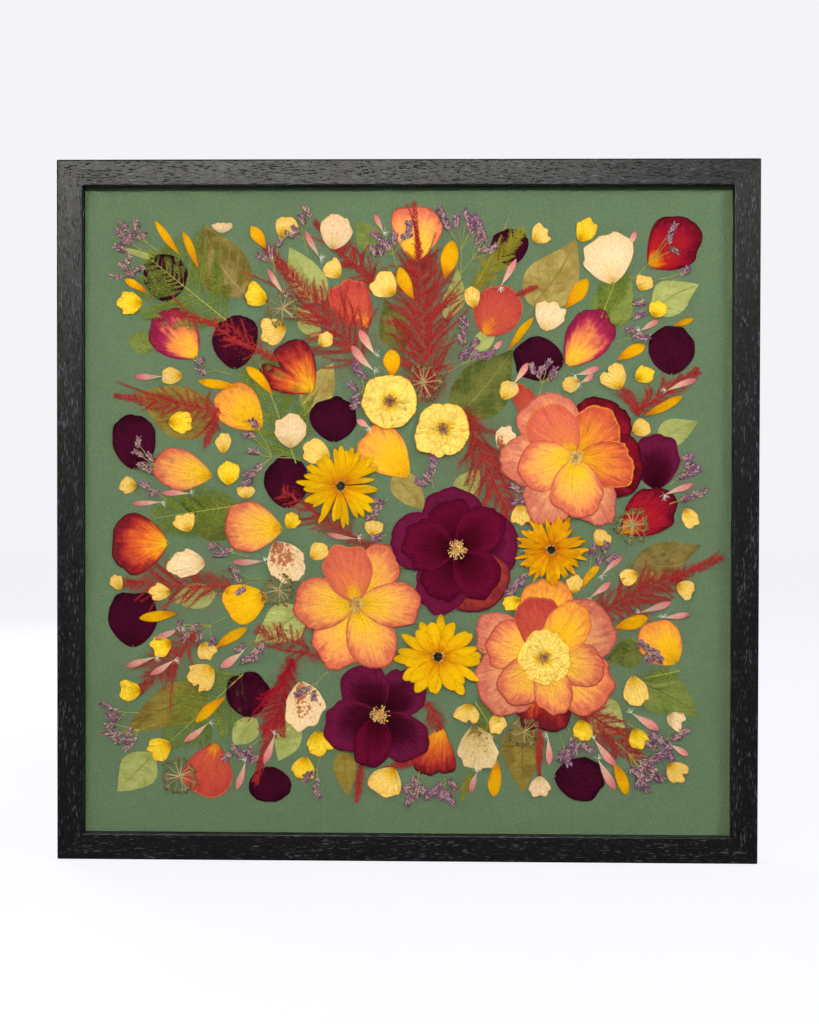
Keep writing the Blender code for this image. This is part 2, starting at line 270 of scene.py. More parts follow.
    def finish(self, colour: object, height: object = None, depth: float = 0.0002) -> bpy.types.Material:
        """Link the colour and the relief to the surface.

        Args:
            colour: The base colour's socket or value.
            height: The relief's socket, if it has one.
            depth: How deep the relief is, in metres.

        Returns:
            The finished material.
        """
        self.feed(self.base.inputs["Base Color"], (*colour, 1.0) if isinstance(colour, tuple) else colour)
        if height is not None:
            bump = self.node("Bump", {"Height": height, "Distance": depth, "Strength": 1.0})
            self.tree.links.new(bump.outputs[0], self.base.inputs["Normal"])
        return self.material


@dataclass(frozen=True)
class PetalTexture:
    """How fine each layer of a pressed petal's texture is, where it sits, and what shade it leaves.

    Attributes:
        roughness: How matt the petal is.
        apart: How far apart two petals' streaks are taken, so that no two are alike.
        streaks: How fine the streaks are across and along the petal.
        veins: How much finer the veins are than the streaks, along each axis.
        blotches: How fine the blotches are.
        specks: How fine the specks are.
        patches: How fine the patches are that the specks gather in.
        grain: How fine the surface's grain is.
        creases: How fine the creases are.
        full: How far along its colours the petal may get before its rim.
        rim: Where the rim's own colour sets in.
        vein_range: The noise values between which a vein darkens.
        edge_range: The places across between which a strap's edge darkens.
        grain_range: The noise values between which the grain darkens.
        grain_top: How much the grain darkens at most.
        outline_across: The places across between which the painted edge shade sets in.
        outline_along: The places along between which the painted rim shade sets in.
        vein_shade: The shade of a vein.
        edge_shade: The shade of a strap's edge.
        grain_shade: The shade of the grain.
        outline_shade: The tint of the painted shade along the sides and rim.
    """

    roughness: float = 0.6
    apart: float = 37.0
    streaks: tuple = (34.0, 2.6)
    veins: tuple = (2.4, 1.0, 1.0)
    blotches: float = 110.0
    specks: float = 520.0
    patches: float = 90.0
    grain: float = 1100.0
    creases: float = 260.0
    full: float = 0.93
    rim: tuple = (0.955, 0.995)
    vein_range: tuple = (0.52, 0.72)
    edge_range: tuple = (0.55, 1.0)
    grain_range: tuple = (0.38, 0.66)
    grain_top: float = 0.5
    outline_across: tuple = (0.93, 1.0)
    outline_along: tuple = (0.965, 1.0)
    vein_shade: tuple = (0.45, 0.35, 0.38)
    edge_shade: tuple = (0.62, 0.36, 0.20)
    grain_shade: tuple = (0.70, 0.58, 0.62)
    outline_shade: tuple = (0.50, 0.28, 0.22)


TEXTURE = PetalTexture()


@dataclass(frozen=True)
class PetalFinish:
    """A pressed petal: colours from its base to its rim, streaks that fan out from the base, and blotches.

    Attributes:
        name: The finish's name.
        slot: The record's material slot; it is not used.
        stops: (position, colour) pairs from the base, 0, to the rim, 1.
        streak: How far a streak shifts the colour along the petal.
        blotch: How far a blotch shifts it.
        skew: How far it shifts from one side to the other.
        speck: The colour of specks, if it has them.
        specks: How much of it the specks cover.
        vein: How dark the fine veins are.
        edge: How dark the two long edges of a strap are.
        gloss: How strongly it mirrors.
        crumple: How deep its creases are, in metres.
        outline: How dark its outline of painted edge shade is.
        tones: How dim and how bright one petal is next to another.
    """

    name: str
    slot: str
    stops: tuple
    streak: float = 0.22
    blotch: float = 0.20
    skew: float = 0.0
    speck: tuple | None = None
    specks: float = 0.5
    vein: float = 0.25
    edge: float = 0.0
    gloss: float = 0.08
    crumple: float = 0.0014
    outline: float = 0.5
    tones: tuple = (0.92, 1.08)

    def make(self) -> bpy.types.Material:
        """Make the material.

        Returns:
            The material.
        """
        shader = Shader(self.name, TEXTURE.roughness, self.gloss)
        across, along = shader.press()
        place = shader.place()
        apart = shader.sums("MULTIPLY", shader.pick(), TEXTURE.apart)
        fan_across = shader.sums("MULTIPLY", across, TEXTURE.streaks[0])
        fan_along = shader.sums("MULTIPLY", along, TEXTURE.streaks[1])
        lie = shader.node("CombineXYZ", {0: fan_across, 1: fan_along, 2: apart}).outputs[0]
        streaks = shader.noise(lie, 1.0, 2.0)
        reach = self.reach(shader, across, along, streaks)
        rim = shader.mask(along, *TEXTURE.rim)
        reach = shader.node("Mix", {0: rim, 2: reach, 3: 1.0}).outputs[0]
        colour = shader.ramp(reach, self.stops)
        lines = shader.noise(shader.stretched(lie, TEXTURE.veins), 1.0, 1.0)
        colour = shader.stain(shader.mask(lines, *TEXTURE.vein_range, self.vein), colour, TEXTURE.vein_shade)
        if self.edge:
            side = shader.mask(shader.aside(across), *TEXTURE.edge_range, self.edge)
            colour = shader.stain(side, colour, TEXTURE.edge_shade)
        if self.speck:
            colour = self.specked(shader, colour, along)
        grain = shader.mask(shader.noise(place, TEXTURE.grain, 3.0), *TEXTURE.grain_range, TEXTURE.grain_top)
        colour = shader.stain(grain, colour, TEXTURE.grain_shade)
        # Painted shade: a darker outline along the petal's sides and rim, standing for the shade line at its
        # edge.
        colour = shader.stain(self.shaded_outline(shader, across, along), colour, TEXTURE.outline_shade)
        colour = shader.tone(colour, *self.tones)
        crinkle = shader.sums("ADD", shader.noise(place, TEXTURE.creases, 4.0), streaks)
        return shader.finish(colour, crinkle, self.crumple)

    def reach(self, shader: Shader, across: Socket, along: Socket, streaks: Socket) -> Socket:
        """How far along its colours a point is, once streaks, blotches and skew have shifted it.

        Args:
            shader: The shader.
            across: How far across the petal a point is.
            along: How far along it is.
            streaks: The streaks.

        Returns:
            The socket of the place among the colours.
        """
        blotches = shader.noise(shader.place(), TEXTURE.blotches, 4.0)
        reach = shader.sums("ADD", along, shader.shift(streaks, self.streak * 2))
        reach = shader.sums("ADD", reach, shader.shift(blotches, self.blotch * 2))
        reach = shader.sums("ADD", reach, shader.shift(across, self.skew))
        return shader.sums("MINIMUM", reach, TEXTURE.full)

    def specked(self, shader: Shader, colour: Socket, along: Socket) -> Socket:
        """Scatter specks, closer together near the base.

        Args:
            shader: The shader.
            colour: The petal's colour.
            along: How far along it a point is.

        Returns:
            The socket of the specked colour.
        """
        place = shader.place()
        gather = shader.shift(shader.noise(place, TEXTURE.patches, 2.0), 0.9)
        patch = shader.sums("ADD", shader.noise(place, TEXTURE.specks, 4.0), gather)
        patch = shader.sums("ADD", patch, shader.shift(along, -0.5))
        where = shader.mask(patch, 0.72 - self.specks * 0.35, 0.82 - self.specks * 0.3, 0.85)
        return shader.mix(where, colour, self.speck)

    def shaded_outline(self, shader: Shader, across: Socket, along: Socket) -> Socket:
        """How far the painted edge shade along the sides and rim darkens a point.

        Args:
            shader: The shader.
            across: How far across the petal a point is.
            along: How far along it is.

        Returns:
            The socket of the rim's strength.
        """
        sides = shader.mask(shader.aside(across), *TEXTURE.outline_across)
        rim = shader.sums("MAXIMUM", sides, shader.mask(along, *TEXTURE.outline_along))
        return shader.sums("MULTIPLY", rim, self.outline)


@dataclass(frozen=True)
class LeafFinish:
    """A pressed leaf: a midrib, side veins that rise from it, and patches where drying left it darker or
    paler.

    Attributes:
        name: The finish's name.
        slot: The record's material slot; it is not used.
        main: Its main colour.
        patch: The colour of its patches.
        rib: The colour of its veins.
        pairs: How many pairs of side veins it has.
        patches: How much the patches cover, 0 to 1.
        roughness: How matt it is.
        blotches: How fine its patches are.
        mottle: How fine its mottling is.
        folds: How fine its folds are.
        climb: How steeply the side veins rise to the edge.
        side_vein: How broad a side vein is, as a share of the gap between two.
        side_share: How strong a side vein is next to the midrib.
        midrib: Where the midrib fades out and where it is full, across the leaf.
        relief: How deep its folds and veins are, in metres.
        tones: How dim and how bright one leaf is next to another.
    """

    name: str
    slot: str
    main: tuple
    patch: tuple
    rib: tuple
    pairs: float = 7.0
    patches: float = 0.5
    roughness: float = 0.6
    blotches: float = 75.0
    mottle: float = 400.0
    folds: float = 95.0
    climb: float = 2.2
    side_vein: float = 0.09
    side_share: float = 0.55
    midrib: tuple = (0.05, 0.015)
    relief: float = 0.002
    tones: tuple = (0.9, 1.1)

    def make(self) -> bpy.types.Material:
        """Make the material.

        Returns:
            The material.
        """
        shader = Shader(self.name, self.roughness)
        across, along = shader.press()
        place = shader.place()
        blotch = shader.noise(place, self.blotches, 5.0)
        veins = self.veins(shader, shader.aside(across), along, blotch)
        edge = 0.66 - self.patches * 0.3
        colour = shader.mix(shader.mask(blotch, edge - 0.1, edge + 0.12), self.main, self.patch)
        mottle = shader.mask(shader.noise(place, self.mottle, 4.0), 0.35, 0.75, 0.35)
        colour = shader.mix(mottle, colour, self.patch)
        colour = shader.mix(shader.sums("MULTIPLY", veins, 0.6), colour, self.rib)
        fold = shader.noise(shader.stretched(place, (1.0, 1.0, 1.7)), self.folds, 4.0)
        relief = shader.sums("ADD", shader.sums("MULTIPLY", veins, -0.25), shader.sums("MULTIPLY", fold, 1.6))
        return shader.finish(shader.tone(colour, *self.tones), relief, self.relief)

    def veins(self, shader: Shader, aside: Socket, along: Socket, blotch: Socket) -> Socket:
        """The midrib and the side veins that rise from it.

        Args:
            shader: The shader.
            aside: How far from the midrib a point is.
            along: How far along the leaf it is.
            blotch: A noise that lets the veins waver.

        Returns:
            The socket of how much of a vein there is.
        """
        steps = shader.sums("MULTIPLY", along, self.pairs)
        climb = shader.sums("SUBTRACT", steps, shader.sums("MULTIPLY", aside, self.climb))
        climb = shader.sums("ADD", climb, shader.shift(blotch, 0.5))
        side = shader.mask(shader.sums("PINGPONG", climb, 0.5), self.side_vein, 0.0)
        midrib = shader.mask(aside, *self.midrib)
        return shader.sums("MAXIMUM", shader.sums("MULTIPLY", side, self.side_share), midrib)


@dataclass(frozen=True)
class ThreadFinish:
    """Threads, flakes and florets whose colour runs between inks by their pick.

    Attributes:
        name: The finish's name.
        slot: The record's material slot; it is not used.
        inks: The colours.
        edge: How dark the painted shade at the edges of each flake is, standing for the shadows between
            flakes.
        speckle: How fine the speckle is that shifts its colour.
        edge_range: The places across between which the painted edge shade sets in.
        edge_shade: The tint of the painted edge shade.
    """

    name: str
    slot: str
    inks: tuple
    edge: float = 0.0
    speckle: float = 260.0
    edge_range: tuple = (0.35, 0.95)
    edge_shade: tuple = (0.28, 0.14, 0.20)

    def make(self) -> bpy.types.Material:
        """Make the material.

        Returns:
            The material.
        """
        shader = Shader(self.name, 0.8, 0.04)
        speckle = shader.shift(shader.noise(shader.place(), self.speckle, 3.0), 0.5)
        last = len(self.inks) - 1
        stops = tuple((k / last, colour) for k, colour in enumerate(self.inks))
        colour = shader.ramp(shader.sums("ADD", shader.pick(), speckle), stops)
        # Painted shade: each flake darkens towards its edges to stand for the shadows between overlapping
        # flakes.
        if self.edge:
            side = shader.mask(shader.aside(shader.press()[0]), *self.edge_range, self.edge)
            colour = shader.stain(side, colour, self.edge_shade)
        return shader.finish(colour)


class Finish(Enum):
    """Every finish of the pressed pieces."""

    # The burgundy's lighter plum middle and its strong blotches are partly its own colour and partly a
    # painted sheen.
    BURGUNDY = PetalFinish(
        "burgundy_petal", "petal_burgundy",
        mixed((0.0, 52, 5, 21), (0.5, 65, 8, 34), (0.85, 60, 6, 31), (1.0, 39, 3, 18)),
        blotch=0.5, vein=0.25, gloss=0.02, crumple=0.0009,
    )
    # Painted shade: the wine petals darken towards the base partly in their own colour and partly to stand
    # for the shade where the petal above lies on them.
    WINE = PetalFinish(
        "wine_petal", "petal_burgundy",
        mixed((0.0, 41, 2, 13), (0.55, 67, 5, 29), (0.85, 103, 22, 58), (1.0, 97, 13, 46)),
        blotch=0.2, streak=0.1, vein=0.15, gloss=0.02, crumple=0.0009,
    )
    # Its dark base is partly painted shade, as for the wine petal above.
    WINE_DEEP = PetalFinish(
        "deep_wine_petal", "petal_burgundy",
        mixed((0.0, 34, 1, 8), (0.45, 76, 4, 27), (0.85, 98, 9, 42), (1.0, 76, 4, 32)),
        blotch=0.2, streak=0.1, vein=0.15, gloss=0.02, crumple=0.0009,
    )
    # Its dark inner part is partly painted shade, as for the wine petal above.
    WINE_RUSTY = PetalFinish(
        "rusty_wine_petal", "petal_burgundy",
        mixed(
            (0.0, 110, 40, 14), (0.12, 70, 10, 26), (0.6, 80, 16, 44), (0.85, 150, 56, 40), (1.0, 98, 16, 48)
        ),
        blotch=0.35, streak=0.12, vein=0.15, gloss=0.02, crumple=0.0009,
    )
    PEACH = PetalFinish(
        "peach_petal", "petal_peach",
        mixed(
            (0.0, 240, 160, 10), (0.2, 254, 200, 24), (0.48, 253, 190, 64),
            (0.72, 248, 168, 82), (0.9, 224, 120, 82), (1.0, 194, 80, 64),
        ),
        blotch=0.2, streak=0.16,
    )
    CORAL = PetalFinish(
        "coral_petal", "petal_peach",
        mixed(
            (0.0, 246, 176, 10), (0.16, 250, 184, 20), (0.34, 238, 128, 70),
            (0.8, 226, 110, 82), (0.95, 216, 98, 72), (1.0, 242, 150, 62),
        ),
        blotch=0.14, streak=0.14,
    )
    ROSY = PetalFinish(
        "rosy_petal", "petal_peach",
        mixed((0.0, 248, 190, 70), (0.4, 246, 178, 98), (0.75, 230, 148, 106), (1.0, 202, 100, 84)),
        blotch=0.34, streak=0.16, vein=0.35,
    )
    AMBER = PetalFinish(
        "amber_petal", "petal_peach",
        mixed((0.0, 244, 176, 4), (0.5, 253, 192, 22), (0.8, 250, 174, 58), (1.0, 232, 128, 56)),
        streak=0.3,
    )
    COPPER = PetalFinish(
        "copper_petal", "petal_peach",
        mixed(
            (0.0, 250, 184, 8), (0.3, 247, 162, 32), (0.65, 235, 127, 54),
            (0.93, 210, 84, 56), (1.0, 246, 168, 44),
        ),
        streak=0.3, blotch=0.2, vein=0.6,
    )
    BRICK = PetalFinish(
        "brick_petal", "petal_peach",
        mixed(
            (0.0, 246, 172, 20), (0.14, 238, 132, 44), (0.3, 210, 90, 60),
            (0.78, 198, 74, 58), (0.93, 186, 64, 54), (1.0, 220, 120, 60),
        ),
        blotch=0.24, vein=0.45, tones=(0.9, 1.04),
    )
    CRIMSON = PetalFinish(
        "crimson_petal", "petal_crimson",
        mixed(
            (0.0, 229, 175, 4), (0.2, 223, 129, 13), (0.36, 182, 31, 31),
            (0.8, 140, 13, 36), (1.0, 69, 3, 18),
        ),
        blotch=0.24, streak=0.14, gloss=0.04,
    )
    MAGENTA = PetalFinish(
        "magenta_petal", "petal_crimson",
        mixed(
            (0.0, 251, 204, 27), (0.3, 246, 184, 59), (0.52, 238, 140, 70),
            (0.75, 171, 36, 76), (1.0, 111, 12, 45),
        ),
        streak=0.26, blotch=0.24, skew=0.25,
    )
    FLAME = PetalFinish(
        "flame_petal", "petal_crimson",
        mixed(
            (0.0, 253, 213, 21), (0.26, 245, 160, 31), (0.5, 222, 98, 38),
            (0.8, 160, 34, 34), (1.0, 70, 8, 24),
        ),
        streak=0.28, blotch=0.22,
    )
    CREAM_PALE = PetalFinish(
        "pale_cream_petal", "petal_cream",
        mixed((0.0, 245, 192, 96), (0.2, 251, 217, 151), (0.6, 253, 221, 173), (1.0, 247, 207, 149)),
        blotch=0.15, streak=0.08, vein=0.1, crumple=0.0018,
    )
    CREAM = PetalFinish(
        "cream_petal", "petal_cream",
        mixed((0.0, 220, 138, 7), (0.25, 254, 199, 49), (0.6, 254, 218, 115), (1.0, 252, 201, 94)),
        blotch=0.2, streak=0.14, vein=0.15, crumple=0.0018,
    )
    YELLOW = PetalFinish(
        "yellow_petal", "petal_yellow",
        mixed((0.0, 218, 144, 2), (0.35, 254, 204, 10), (0.7, 254, 218, 56), (1.0, 245, 193, 34)),
        blotch=0.22, streak=0.18, vein=0.2, crumple=0.0018, tones=(1.0, 1.16),
    )
    GOLD = PetalFinish(
        "gold_petal", "petal_yellow",
        mixed((0.0, 236, 160, 2), (0.4, 253, 198, 6), (1.0, 246, 180, 4)),
        vein=0.2,
    )
    ORANGE = PetalFinish(
        "orange_ray", "petal_yellow",
        mixed((0.0, 232, 135, 10), (0.3, 248, 171, 2), (0.7, 253, 191, 2), (1.0, 248, 179, 2)),
        vein=0.2, edge=0.35, outline=0.3, tones=(1.1, 1.3),
    )
    PINK = PetalFinish(
        "pink_floret", "floret_pink",
        mixed((0.0, 254, 242, 194), (0.3, 254, 210, 178), (0.7, 250, 165, 154), (1.0, 238, 127, 134)),
        streak=0.2, vein=0.3, edge=0.3, outline=0.3, tones=(1.08, 1.26),
    )
    CALENDULA = PetalFinish(
        "calendula_ray", "calendula_orange",
        mixed((0.0, 222, 117, 0), (0.22, 248, 170, 0), (0.6, 253, 195, 0), (1.0, 252, 199, 2)),
        streak=0.2, vein=0.25, edge=0.4, outline=0.3, tones=(1.18, 1.5),
    )
    CALENDULA_DEEP = PetalFinish(
        "calendula_deep_ray", "calendula_orange",
        mixed((0.0, 212, 103, 0), (0.3, 245, 154, 0), (0.8, 254, 183, 4), (1.0, 245, 161, 0)),
        streak=0.2, vein=0.3, edge=0.45, outline=0.3, tones=(1.28, 1.64),
    )
    ROSETTE = PetalFinish(
        "rosette_petal", "petal_cream",
        mixed(
            (0.0, 120, 70, 10), (0.13, 214, 140, 8), (0.32, 253, 204, 40),
            (0.64, 254, 226, 114), (0.93, 254, 214, 96), (1.0, 242, 180, 50),
        ),
        blotch=0.24, streak=0.4, vein=0.25, crumple=0.0016, outline=0.3, tones=(0.98, 1.12),
    )
    SPECKLED_RED = PetalFinish(
        "red_speckled_petal", "petal_cream",
        mixed((0.0, 230, 176, 107), (0.4, 249, 215, 156), (1.0, 248, 217, 166)),
        speck=ink(176, 80, 50), specks=0.62,
    )
    SPECKLED_GREEN = PetalFinish(
        "green_speckled_petal", "petal_cream",
        mixed((0.0, 186, 153, 76), (0.45, 222, 192, 126), (1.0, 234, 206, 151)),
        speck=ink(116, 104, 43), specks=0.45,
    )
    LEAF_OLIVE = LeafFinish(
        "olive_leaf", "leaf_olive", ink(143, 125, 50), ink(126, 103, 40), ink(111, 100, 40), 6.0
    )
    LEAF_BROWN = LeafFinish(
        "brown_leaf", "leaf_olive", ink(140, 121, 65), ink(104, 90, 30), ink(160, 145, 95), 6.0, 0.6
    )
    LEAF_DARK = LeafFinish(
        "dark_leaf", "leaf_olive", ink(111, 115, 50), ink(77, 88, 30), ink(143, 140, 70), 7.0, 0.6
    )
    LEAF_TAN = LeafFinish(
        "tan_leaf", "leaf_olive", ink(171, 153, 84), ink(147, 125, 59), ink(135, 116, 52), 6.0
    )
    LEAF_PALE = LeafFinish(
        "pale_leaf", "leaf_pale", ink(170, 174, 102), ink(155, 162, 86), ink(140, 149, 78), 7.0
    )
    LEAF_GREEN = LeafFinish(
        "green_leaf", "leaf_pale", ink(126, 136, 64), ink(104, 120, 50), ink(92, 106, 42), 7.0
    )
    RED_THREAD = ThreadFinish(
        "red_plume", "plume_red", (ink(117, 27, 29), ink(156, 40, 39), ink(186, 66, 58))
    )
    CRIMSON_THREAD = ThreadFinish(
        "crimson_plume", "plume_red", (ink(111, 8, 24), ink(159, 21, 35), ink(184, 47, 54))
    )
    GREEN_THREAD = ThreadFinish(
        "green_frond", "fern_green", (ink(75, 93, 30), ink(105, 123, 42), ink(166, 171, 69))
    )
    OLIVE_PLUME = ThreadFinish(
        "olive_plume", "fern_green", (ink(85, 83, 18), ink(129, 121, 32), ink(171, 159, 59))
    )
    STEM = ThreadFinish("straw_stem", "stem_green", (ink(112, 116, 46), ink(164, 164, 80)))
    CALYX = ThreadFinish(
        "papery_calyx", "statice_purple", (ink(97, 61, 80), ink(156, 126, 120), ink(193, 176, 143)), 0.85
    )
    VIOLET = ThreadFinish(
        "violet_floret", "statice_purple", (ink(84, 24, 84), ink(123, 48, 123), ink(165, 101, 164)), 0.5
    )
    UMBEL = ThreadFinish(
        "umbel_spoke", "umbel_brown", (ink(74, 64, 32), ink(134, 118, 70), ink(186, 166, 116)), 0.2
    )
    HAIR = ThreadFinish("white_hair", "floret_pink", (ink(196, 200, 176), ink(232, 228, 208)))
    STAMEN = ThreadFinish(
        "golden_stamen", "flower_heart", (ink(150, 92, 30), ink(208, 160, 84), ink(240, 208, 140)), 0.4
    )
    ROSETTE_HEART = ThreadFinish(
        "rosette_heart", "flower_heart", (ink(88, 54, 44), ink(146, 98, 60), ink(196, 156, 110)), 0.3
    )
    HEART = ThreadFinish("dark_heart", "flower_heart", (ink(24, 26, 18), ink(60, 54, 26), ink(120, 96, 34)))

    def dressed(self) -> bpy.types.Material:
        """The finish's material, made the first time that it is asked for."""
        return bpy.data.materials.get(self.value.name) or self.value.make()


# --- pressed shapes


# The phases of the waves that make rims and blades uneven are drawn up to these, in radians.
PHASE = 6.3
LONG_PHASE = 6.0

# A petal's grid: the slit left open at its base, its innermost row, and how its rows spread out.
SLIT = 0.10
INNER_ROW = 0.02
ROW_SPREAD = 0.85

# A rim's slow waves and its fine nicks, as waves round the rim, and how deep a nick is next to a wave.
RIM_WAVES = range(2, 10)
RIM_NICKS = range(12, 27, 3)
NICK = 0.1

# Where a notch sits round the rim and how broad it is, in radians.
NOTCH_AT = 0.25
NOTCH_BREADTH = 0.14

# How high a petal may wave where nothing lies over it, in millimetres.
FREE = 9.0

# A leaf's grid stops this far short of its ends, its edge has so many teeth, and nothing lies lower.
BLADE_END = 0.03
TEETH = 21
LOWEST = 0.08


def fan(base: tuple, tip: tuple, breadth: float, rng: Chance, taper: float = 0.2,
        wave: float = 0.03, ruffle: float = 0.16, cup: float = 0.25, lift: float = 0.4,
        rows: int = 12, columns: int = 56, notch: float = 0.0, room: float = FREE) -> Surface:
    """A rounded petal whose grid fans out from its base to its rim.

    Args:
        base: Where it was attached, in millimetres from the board's middle.
        tip: The far end of its rim.
        breadth: How broad it is.
        rng: Where its small uneven turns come from.
        taper: How much it narrows to its base.
        wave: How uneven its rim is, as a share of its size.
        ruffle: How far its rim stands up and down.
        cup: How far its rim stands above its base.
        lift: How far its base lies above the board.
        rows: Grid rows from base to rim.
        columns: Grid columns round the rim.
        notch: How deep the nick in its far end is, as a share of its length.
        room: How far its waves may stand up or down before the next petal is in their way.

    Returns:
        The grid's points, and its place across and along the petal.
    """
    run = np.subtract(tip, base).astype(float)
    length = float(np.hypot(*run))
    ahead = run / length
    beside = np.array([-ahead[1], ahead[0]])
    turn = np.linspace(-math.pi + SLIT, math.pi - SLIT, columns)
    forward = (1 + np.cos(turn)) / 2
    sideways = np.sin(turn) * (forward + 0.02) ** taper
    sideways /= np.abs(sideways).max()
    uneven = np.ones(columns)
    lips = np.zeros(columns)
    for k in RIM_WAVES:
        uneven += wave * rng.normal() * np.cos(k * turn + rng.uniform(0, PHASE)) / k**0.6
        lips += rng.normal() * np.sin(k * turn * 1.4 + rng.uniform(0, PHASE)) / k**0.4
    for k in RIM_NICKS:
        uneven += wave * NICK * rng.normal() * np.cos(k * turn + rng.uniform(0, PHASE))
    uneven -= notch * np.exp(-((turn - NOTCH_AT) / NOTCH_BREADTH) ** 2)
    share = np.linspace(INNER_ROW, 1, rows) ** ROW_SPREAD
    out = (uneven * forward * length)[None, :] * share[:, None]
    side = (uneven * sideways * breadth / 2)[None, :] * share[:, None]
    plan = np.array(base) + out[..., None] * ahead + side[..., None] * beside
    waves = ruffle * share[:, None] ** 2.5 * lips[None, :]
    swell = np.sin(out * 0.45 + rng.uniform(0, LONG_PHASE)) * np.sin(side * 0.4 + rng.uniform(0, LONG_PHASE))
    waves += ruffle * 0.5 * swell
    height = lift + cup * share[:, None] ** 2 + room * np.tanh(waves / room)
    spread = np.stack(np.broadcast_arrays((turn / math.pi + 1)[None, :] / 2, share[:, None]), -1)
    return np.dstack([plan, np.maximum(height, lift * 0.6)]), spread


def blade(base: tuple, tip: tuple, breadth: float, rng: Chance, belly: float = 0.75,
          fullness: float = 0.95, bend: float = 0.0, teeth: float = 0.0, lift: float = 0.2,
          rows: int = 46, columns: int = 11, wave: float = 0.15, point: float = 0.0) -> Surface:
    """A leaf or a strap-like floret, on a grid along its midrib.

    Args:
        base: Its stalk end, in millimetres from the board's middle.
        tip: Its tip.
        breadth: How broad it is.
        rng: Where its small uneven turns come from.
        belly: Where it is broadest: under 1 near its stalk, over 1 near its tip.
        fullness: How pointed its ends are: 1 is pointed, 0.5 is round.
        bend: How far its midrib bows to the left.
        teeth: How deep the teeth of its edge are, as a share of its breadth.
        lift: How far it lies above the board.
        rows: Grid rows from stalk to tip.
        columns: Grid columns from edge to edge.
        wave: How far it stands up and down.
        point: How drawn out its tip is, 0 to 1.

    Returns:
        The grid's points, and its place across and along the leaf.
    """
    run = np.subtract(tip, base).astype(float)
    length = float(np.hypot(*run))
    ahead = run / length
    beside = np.array([-ahead[1], ahead[0]])
    along = (1 - np.cos(np.linspace(BLADE_END, math.pi - BLADE_END, rows))) / 2
    across = np.linspace(-1, 1, columns)
    half = breadth / 2 * np.sin(math.pi * along**belly) ** fullness * (1 - point * along**2)
    half *= breadth / 2 / half.max()
    left = half * (1 + 0.05 * np.sin(along * 9 + rng.uniform(0, LONG_PHASE)))
    right = half * (1 + 0.05 * np.sin(along * 8 + rng.uniform(0, LONG_PHASE)))
    saw = teeth * breadth * (np.modf(along * TEETH)[0] - 0.4)
    left, right = left + saw, right + saw
    side = np.where(across[None, :] < 0, across[None, :] * right[:, None], across[None, :] * left[:, None])
    side = side + (bend * np.sin(math.pi * along))[:, None]
    plan = np.array(base) + (along * length)[:, None, None] * ahead + side[..., None] * beside
    lengthwise = np.sin(along * 7 + rng.uniform(0, LONG_PHASE))[:, None]
    swell = lengthwise * np.sin(across * 2.5 + rng.uniform(0, LONG_PHASE))[None, :]
    frill = np.abs(across)[None, :] * np.sin(along * 17 + rng.uniform(0, LONG_PHASE))[:, None]
    height = lift + wave * swell + wave * frill
    spread = np.stack(np.broadcast_arrays((across[None, :] + 1) / 2, along[:, None]), -1)
    return np.dstack([plan, np.maximum(height, LOWEST)]), spread


def fitted(points: np.ndarray, node: str) -> np.ndarray:
    """Size and place a petal or leaf so that its outline fills its CAD node's box.

    Args:
        points: The grid, in millimetres on the board.
        node: The CAD node.

    Returns:
        The grid, moved.
    """
    low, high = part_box(node)
    wanted_low = np.array([low.x - MIDDLE_X, low.z - MIDDLE_Z]) / MM
    wanted_high = np.array([high.x - MIDDLE_X, high.z - MIDDLE_Z]) / MM
    flat = points[..., :2].reshape(-1, 2)
    now_low, now_high = flat.min(0), flat.max(0)
    moved = points.copy()
    share = (points[..., :2] - now_low) / (now_high - now_low)
    moved[..., :2] = share * (wanted_high - wanted_low) + wanted_low
    return moved


